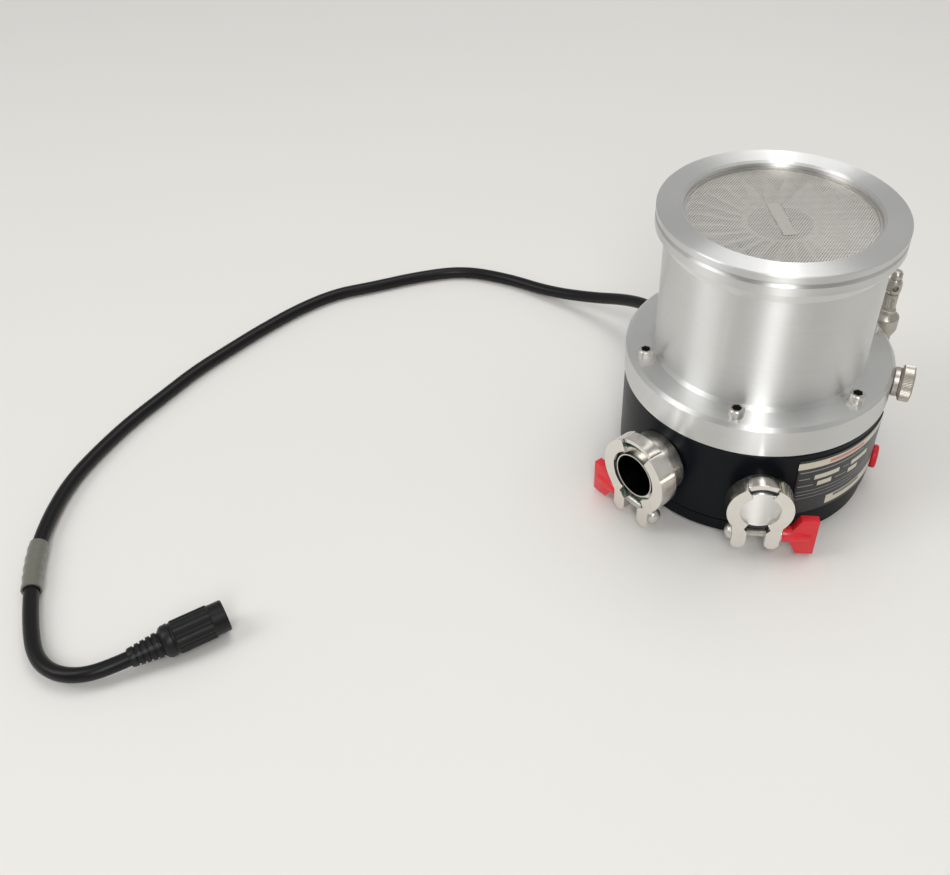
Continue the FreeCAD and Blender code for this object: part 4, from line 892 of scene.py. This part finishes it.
def turn_bolt(name, material):
    """A clamp's cross bolt with its domed head, threaded towards the nut."""
    root, crest, pitch, turns = 0.00222, 0.0025, 0.001, 34
    outline = [
        (0, -0.0168), (0.0016, -0.0166), (0.0030, -0.0159), (0.0040, -0.0148), (0.0044, -0.0136),
        (0.0044, -0.01325), (crest, -0.0132),
    ]
    for index in range(turns):
        low = -0.0100 + pitch * index
        outline += [(root, low), (crest, low + pitch / 2)]
    outline += [(0.0022, 0.0241), (0, 0.0242)]
    bolt = turn_outline("bolt", outline, steps=32)
    set_into(bolt, bolt_matrix(name))
    smooth(bolt, 35)
    return finish_piece(bolt, name + "_bolt_turned", material, "pump", (name + "_bolt",))


def set_camera():
    """Stand the camera where the photograph was taken from."""
    camera = bpy.data.cameras.new("Camera")
    camera.sensor_width = 36
    camera.lens = 39.25
    camera.shift_x = -0.0676
    camera.shift_y = 0.0055
    camera.clip_end = 20
    holder = bpy.data.objects.new("Camera", camera)
    holder.location = (-0.0876, -0.4835, 0.4353)
    holder.rotation_euler = (math.radians(47.85), 0, math.radians(4.5))
    bpy.context.collection.objects.link(holder)
    bpy.context.scene.camera = holder


def set_lamp(name, spot, aim, size, watts):
    """A soft rectangular studio lamp that faces a point."""
    lamp = bpy.data.lights.new(name, "AREA")
    lamp.shape = "RECTANGLE"
    lamp.size, lamp.size_y = size
    lamp.energy = watts
    holder = bpy.data.objects.new(name, lamp)
    holder.location = spot
    heading = Vector(aim) - Vector(spot)
    holder.rotation_euler = heading.to_track_quat("-Z", "Y").to_euler()
    bpy.context.collection.objects.link(holder)
    return holder


# Brightness of the room by the share of a turn from the -X side
ROOM_PANELS = (
    (0.0, 0.55), (0.08, 0.95), (0.14, 0.25), (0.20, 0.35), (0.235, 1.0), (0.275, 1.0),
    (0.31, 0.4), (0.40, 0.3), (0.46, 1.0), (0.58, 0.6), (0.70, 1.0), (0.85, 0.5), (0.95, 0.9),
)


def set_world():
    """A pale room broken by soft dark panels round it."""
    world = bpy.data.worlds.new("studio")
    world.use_nodes = True
    bpy.context.scene.world = world
    nodes = world.node_tree.nodes
    links = world.node_tree.links
    background = nodes["Background"]
    place = nodes.new("ShaderNodeTexCoord")
    split = nodes.new("ShaderNodeSeparateXYZ")
    links.new(place.outputs["Generated"], split.inputs[0])
    turn = nodes.new("ShaderNodeMath")
    turn.operation = "ARCTAN2"
    links.new(split.outputs[1], turn.inputs[0])
    links.new(split.outputs[0], turn.inputs[1])
    share = nodes.new("ShaderNodeMapRange")
    share.inputs[1].default_value = -math.pi
    share.inputs[2].default_value = math.pi
    links.new(turn.outputs[0], share.inputs[0])
    panels = nodes.new("ShaderNodeValToRGB")
    links.new(share.outputs[0], panels.inputs[0])
    ramp = panels.color_ramp
    ramp.interpolation = "B_SPLINE"
    for position, level in ROOM_PANELS:
        element = ramp.elements.new(position)
        element.color = (level, level, level * 0.985, 1.0)
    ramp.elements.remove(ramp.elements[0])
    links.new(panels.outputs[0], background.inputs[0])
    background.inputs[1].default_value = 0.62
    return background


def lay_floor():
    """A wide pale sheet that the pump stands on."""
    deselect()
    bpy.ops.mesh.primitive_plane_add(size=8, location=(0, 0, -0.0002))
    floor = bpy.context.object
    floor.name = "studio_floor"
    floor.data.name = "studio_floor"
    sheet = MaterialBuilder("floor_sheet", (0.82, 0.805, 0.77), 0.0, 0.6)
    broad = sheet.noise(sheet.scaled((2.5, 2.5, 2.5)), detail=2.0)
    sheet.tint(broad, 0.02)
    floor.data.materials.append(sheet.material)
    return floor


def lay_cable(material):
    """The controller cable as one smooth spline along its route."""
    cable = cable_curve("pump_cable")
    data = cable.data
    data.bevel_depth = 0.004
    data.bevel_resolution = 6
    data.use_fill_caps = True
    data.materials.append(material)
    return label_piece(cable, "pump_cable", "pump", ("cable",))


def port_steel(name, port, color, roughness, grain=0.5, bore=None):
    """Turned steel whose marks run round one port."""
    return turned_metal(name, color, roughness, axis_matrix(PORTS[port]["azimuth"]), grain, bore)


def dress_housing(colors):
    """Give the pump's fixed shells and sealed inner parts their finishes."""
    aluminium = turned_metal("turned_aluminium", tuple(colors.aluminium), 0.42, grain=0.95)
    paint_node("pump_envelope", aluminium)
    black = MaterialBuilder("black_anodising", tuple(colors.anodising), 0.0, 0.34)
    skin = black.noise(black.scaled((1800, 1800, 1800)), detail=5.0)
    marks = black.noise(black.lathe_place(5000, 5000, 0.5), detail=2.0)
    black.tint(skin, 0.2)
    black.rough(marks, 0.30, 0.42)
    black.bump(marks, 0.006 * MILLIMETRE)
    black.shader.inputs["Specular IOR Level"].default_value = 0.12
    paint_node("base_housing", black.material)
    paint_node("base_cover", black.material)
    rotor = turned_metal("milled_aluminium", (0.72, 0.70, 0.66), 0.38, grain=0.0)
    paint_node("rotor_hub", turned_metal("hub_aluminium", (0.34, 0.34, 0.34), 0.4, grain=0.5))
    for node in ("rotor_stage_1", "rotor_stage_2", "rotor_stage_3",
                 "stator_stage_1", "stator_stage_2", "drag_rotor", "drag_stator"):
        paint_node(node, rotor)
    steel = turned_metal("ground_steel", (0.62, 0.60, 0.57), 0.3, grain=0.0)
    for node in ("rotor_shaft", "rotor_bolt", "bearing_outer_rings", "bearing_inner_rings",
                 "bearing_balls", "motor_magnet", "base_cover_screws", "envelope_screws",
                 "screen_retaining_ring", "inlet_screen"):
        paint_node(node, steel)
    paint_node("motor_stator", moulded("potting", (0.2, 0.11, 0.05), 0.5))


def dress_ports():
    """Give the ports, their caps, rings and seals their finishes."""
    steel = (0.74, 0.71, 0.66)
    # The backing port's finish paints shade inside its bore's radius
    for name, bore in (("backing", 0.0127), ("purge", None)):
        finish = port_steel(name + "_port_steel", name, steel, 0.24, bore=bore)
        paint_node(name + "_port", finish)
        paint_node(name + "_centring_ring", finish)
    paint_node("purge_cap", port_steel("purge_cap_steel", "purge", (0.84, 0.83, 0.80), 0.40, 0.95))
    green = moulded("seal_rubber", (0.012, 0.07, 0.045), 0.42, coat=0.2)
    paint_node("backing_seal", green)
    dark = moulded("black_seal", (0.016, 0.017, 0.018), 0.45)
    paint_node("purge_seal", dark)
    paint_node("envelope_seal", dark)
    paint_node("vent_pad", dark)


def dress_fittings(colors):
    """Give clamps, bolts, nuts and small fittings their finishes."""
    clamp = cast_metal("polished_clamp", (0.80, 0.77, 0.72), 0.16)
    bolt = cast_metal("bolt_steel", (0.64, 0.62, 0.58), 0.24)
    red = moulded("red_plastic", tuple(colors.plastic), 0.36, coat=0.05, gloss=0.3)
    nickel = cast_metal("nickel_plate", (0.50, 0.47, 0.42), 0.34)
    for name in PORTS:
        for part in CLAMP_PARTS:
            paint_node(name + part, clamp)
        paint_node(name + "_bolt", bolt)
        paint_node(name + "_washer", bolt)
        paint_node(name + "_wing_nut", red)
    paint_node("vent_body", nickel)
    paint_node("vent_knob", nickel)
    for part in RELIEF_PARTS:
        paint_node("relief_" + part, nickel)
    paint_node("blanking_plug", red)
    foil = moulded("printed_foil", (0.018, 0.019, 0.022), 0.3, depth=0.004 * MILLIMETRE)
    paint_node("nameplate", foil)
    black = moulded("black_nylon", (0.006, 0.006, 0.0065), 0.36, gloss=0.3)
    paint_node("cable_gland", black)
    paint_node("cable_connector", black)
    paint_node("cable_sleeve", moulded("olive_sleeve", (0.15, 0.15, 0.125), 0.28, coat=0.3))


class PUMP_PG_colors(bpy.types.PropertyGroup):
    """Colours of the pump's main finishes."""

    aluminium: bpy.props.FloatVectorProperty(
        name="Aluminium", description="Turned envelope and inlet flange",
        subtype="COLOR", default=(0.82, 0.82, 0.805), min=0, max=1,
    )
    anodising: bpy.props.FloatVectorProperty(
        name="Anodising", description="Black base housing and its cover",
        subtype="COLOR", default=(0.0042, 0.0058, 0.0085), min=0, max=1,
    )
    plastic: bpy.props.FloatVectorProperty(
        name="Plastic", description="Wing nuts and blanking plug",
        subtype="COLOR", default=(0.72, 0.018, 0.028), min=0, max=1,
    )
    jacket: bpy.props.FloatVectorProperty(
        name="Cable Jacket", description="Jacket of the controller cable",
        subtype="COLOR", default=(0.005, 0.005, 0.0055), min=0, max=1,
    )


class PUMP_PG_sizes(bpy.types.PropertyGroup):
    """Sizes of the details that a user may change; the cable's length and diameter are not read."""

    mesh_pitch: bpy.props.FloatProperty(
        name="Screen Pitch", description="Spacing of the inlet screen's holes",
        default=0.00145, min=0.0008, unit="LENGTH",
    )
    cable_length: bpy.props.FloatProperty(
        name="Cable Length", description="Length of the controller cable",
        default=0.7253, unit="LENGTH",
    )
    cable_diameter: bpy.props.FloatProperty(
        name="Cable Diameter", description="Diameter of the cable's jacket",
        default=0.008, unit="LENGTH",
    )


class PUMP_OT_camera(bpy.types.Operator):
    """Stand the camera at the photograph's viewing angle"""

    bl_idname = "pump.camera"
    bl_label = "Camera"

    def execute(self, context):
        set_camera()
        return {"FINISHED"}


class PUMP_OT_cable(bpy.types.Operator):
    """Lay the controller cable from its gland to its connector"""

    bl_idname = "pump.cable"
    bl_label = "Cable"

    def execute(self, context):
        jacket = moulded("cable_jacket", tuple(context.scene.pump_colors.jacket), 0.34, gloss=0.25)
        plug = turn_connector()
        sleeve = wrap_sleeve()
        turn_gland()
        cable = lay_cable(jacket)
        return {"FINISHED"}


class PUMP_OT_finishes(bpy.types.Operator):
    """Give every node of the pump its finish"""

    bl_idname = "pump.finishes"
    bl_label = "Finishes"

    def execute(self, context):
        colors = context.scene.pump_colors
        dress_housing(colors)
        dress_ports()
        dress_fittings(colors)
        return {"FINISHED"}


class PUMP_OT_screen(bpy.types.Operator):
    """Weave the inlet screen with its rim and solid bar"""

    bl_idname = "pump.screen"
    bl_label = "Inlet Screen"

    def execute(self, context):
        steel = cast_metal("etched_steel", (0.93, 0.91, 0.87), 0.42)
        weave_screen(context.scene.pump_sizes.mesh_pitch, 0.00038, steel)
        cut_bar(cast_metal("bar_steel", (0.62, 0.60, 0.56), 0.45))
        return {"FINISHED"}


class PUMP_OT_screws(bpy.types.Operator):
    """Set the six ribbed cap screws on the envelope's flange"""

    bl_idname = "pump.screws"
    bl_label = "Envelope Screws"

    def execute(self, context):
        shade = moulded("socket_shade", (0.02, 0.02, 0.019), 0.5)
        set_envelope_screws(shade)
        return {"FINISHED"}


class PUMP_OT_clamps(bpy.types.Operator):
    """Break the edges of the hinged clamps and turn the blank cap"""

    bl_idname = "pump.clamps"
    bl_label = "Clamps"

    def execute(self, context):
        for name in PORTS:
            for part in CLAMP_PARTS:
                refine(name + part, 0.0005)
        turn_cap("purge")
        return {"FINISHED"}


class PUMP_OT_fasteners(bpy.types.Operator):
    """Turn the clamp bolts and mould their red wing nuts"""

    bl_idname = "pump.fasteners"
    bl_label = "Bolts and Wing Nuts"

    def execute(self, context):
        # These two finishes are the plain ones that come with the frame
        steel, plastic = (bpy.data.materials[name] for name in ("bolt_steel", "red_plastic"))
        for name in PORTS:
            turn_bolt(name, steel)
            mould_wing_nut(name, plastic)
        return {"FINISHED"}


class PUMP_OT_fittings(bpy.types.Operator):
    """Make the vent and relief valves, the blanking plug and the nameplate"""

    bl_idname = "pump.fittings"
    bl_label = "Valves and Nameplate"

    def execute(self, context):
        turn_vent_knob()
        refine("vent_body", 0.0003)
        refine("blanking_plug", 0.0012)
        stand_relief_valve()
        print_nameplate()
        return {"FINISHED"}


class PUMP_OT_stage(bpy.types.Operator):
    """Lay the pale floor and hang the studio lamps"""

    bl_idname = "pump.stage"
    bl_label = "Stage"

    def execute(self, context):
        lay_floor()
        set_world()
        middle = (0, 0, 0.1)
        set_lamp("key", (0.05, -1.5, 1.5), middle, (0.45, 1.3), 13)
        set_lamp("side", (-1.5, -0.5, 1.4), middle, (0.8, 1.2), 9)
        set_lamp("top", (0.2, 0.5, 2.0), middle, (1.2, 1.2), 11)
        context.scene.view_settings.view_transform = "Standard"
        return {"FINISHED"}


class PUMP_PT_panel(bpy.types.Panel):
    """Lists the pump's sizes, colours and pieces in the sidebar"""

    bl_idname = "PUMP_PT_panel"
    bl_label = "Turbomolecular Pump"
    bl_space_type = "VIEW_3D"
    bl_region_type = "UI"
    bl_category = "Pump"

    def draw(self, context):
        layout = self.layout
        for group in (context.scene.pump_colors, context.scene.pump_sizes):
            for name in group.__annotations__:
                layout.prop(group, name)
        for operator in MAKING_ORDER:
            layout.operator(operator.bl_idname)


MAKING_ORDER = (
    PUMP_OT_camera, PUMP_OT_finishes, PUMP_OT_cable, PUMP_OT_screen, PUMP_OT_screws,
    PUMP_OT_clamps, PUMP_OT_fasteners, PUMP_OT_fittings, PUMP_OT_stage,
)
CLASSES = (PUMP_PG_colors, PUMP_PG_sizes, *MAKING_ORDER, PUMP_PT_panel)


def register():
    for item in CLASSES:
        bpy.utils.register_class(item)
    bpy.types.Scene.pump_colors = bpy.props.PointerProperty(type=PUMP_PG_colors)
    bpy.types.Scene.pump_sizes = bpy.props.PointerProperty(type=PUMP_PG_sizes)


def unregister():
    del bpy.types.Scene.pump_sizes
    del bpy.types.Scene.pump_colors
    for item in reversed(CLASSES):
        bpy.utils.unregister_class(item)


def main():
    register()
    for operator in MAKING_ORDER:
        group, name = operator.bl_idname.split(".")
        getattr(getattr(bpy.ops, group), name)()


if __name__ == "__main__":
    main()
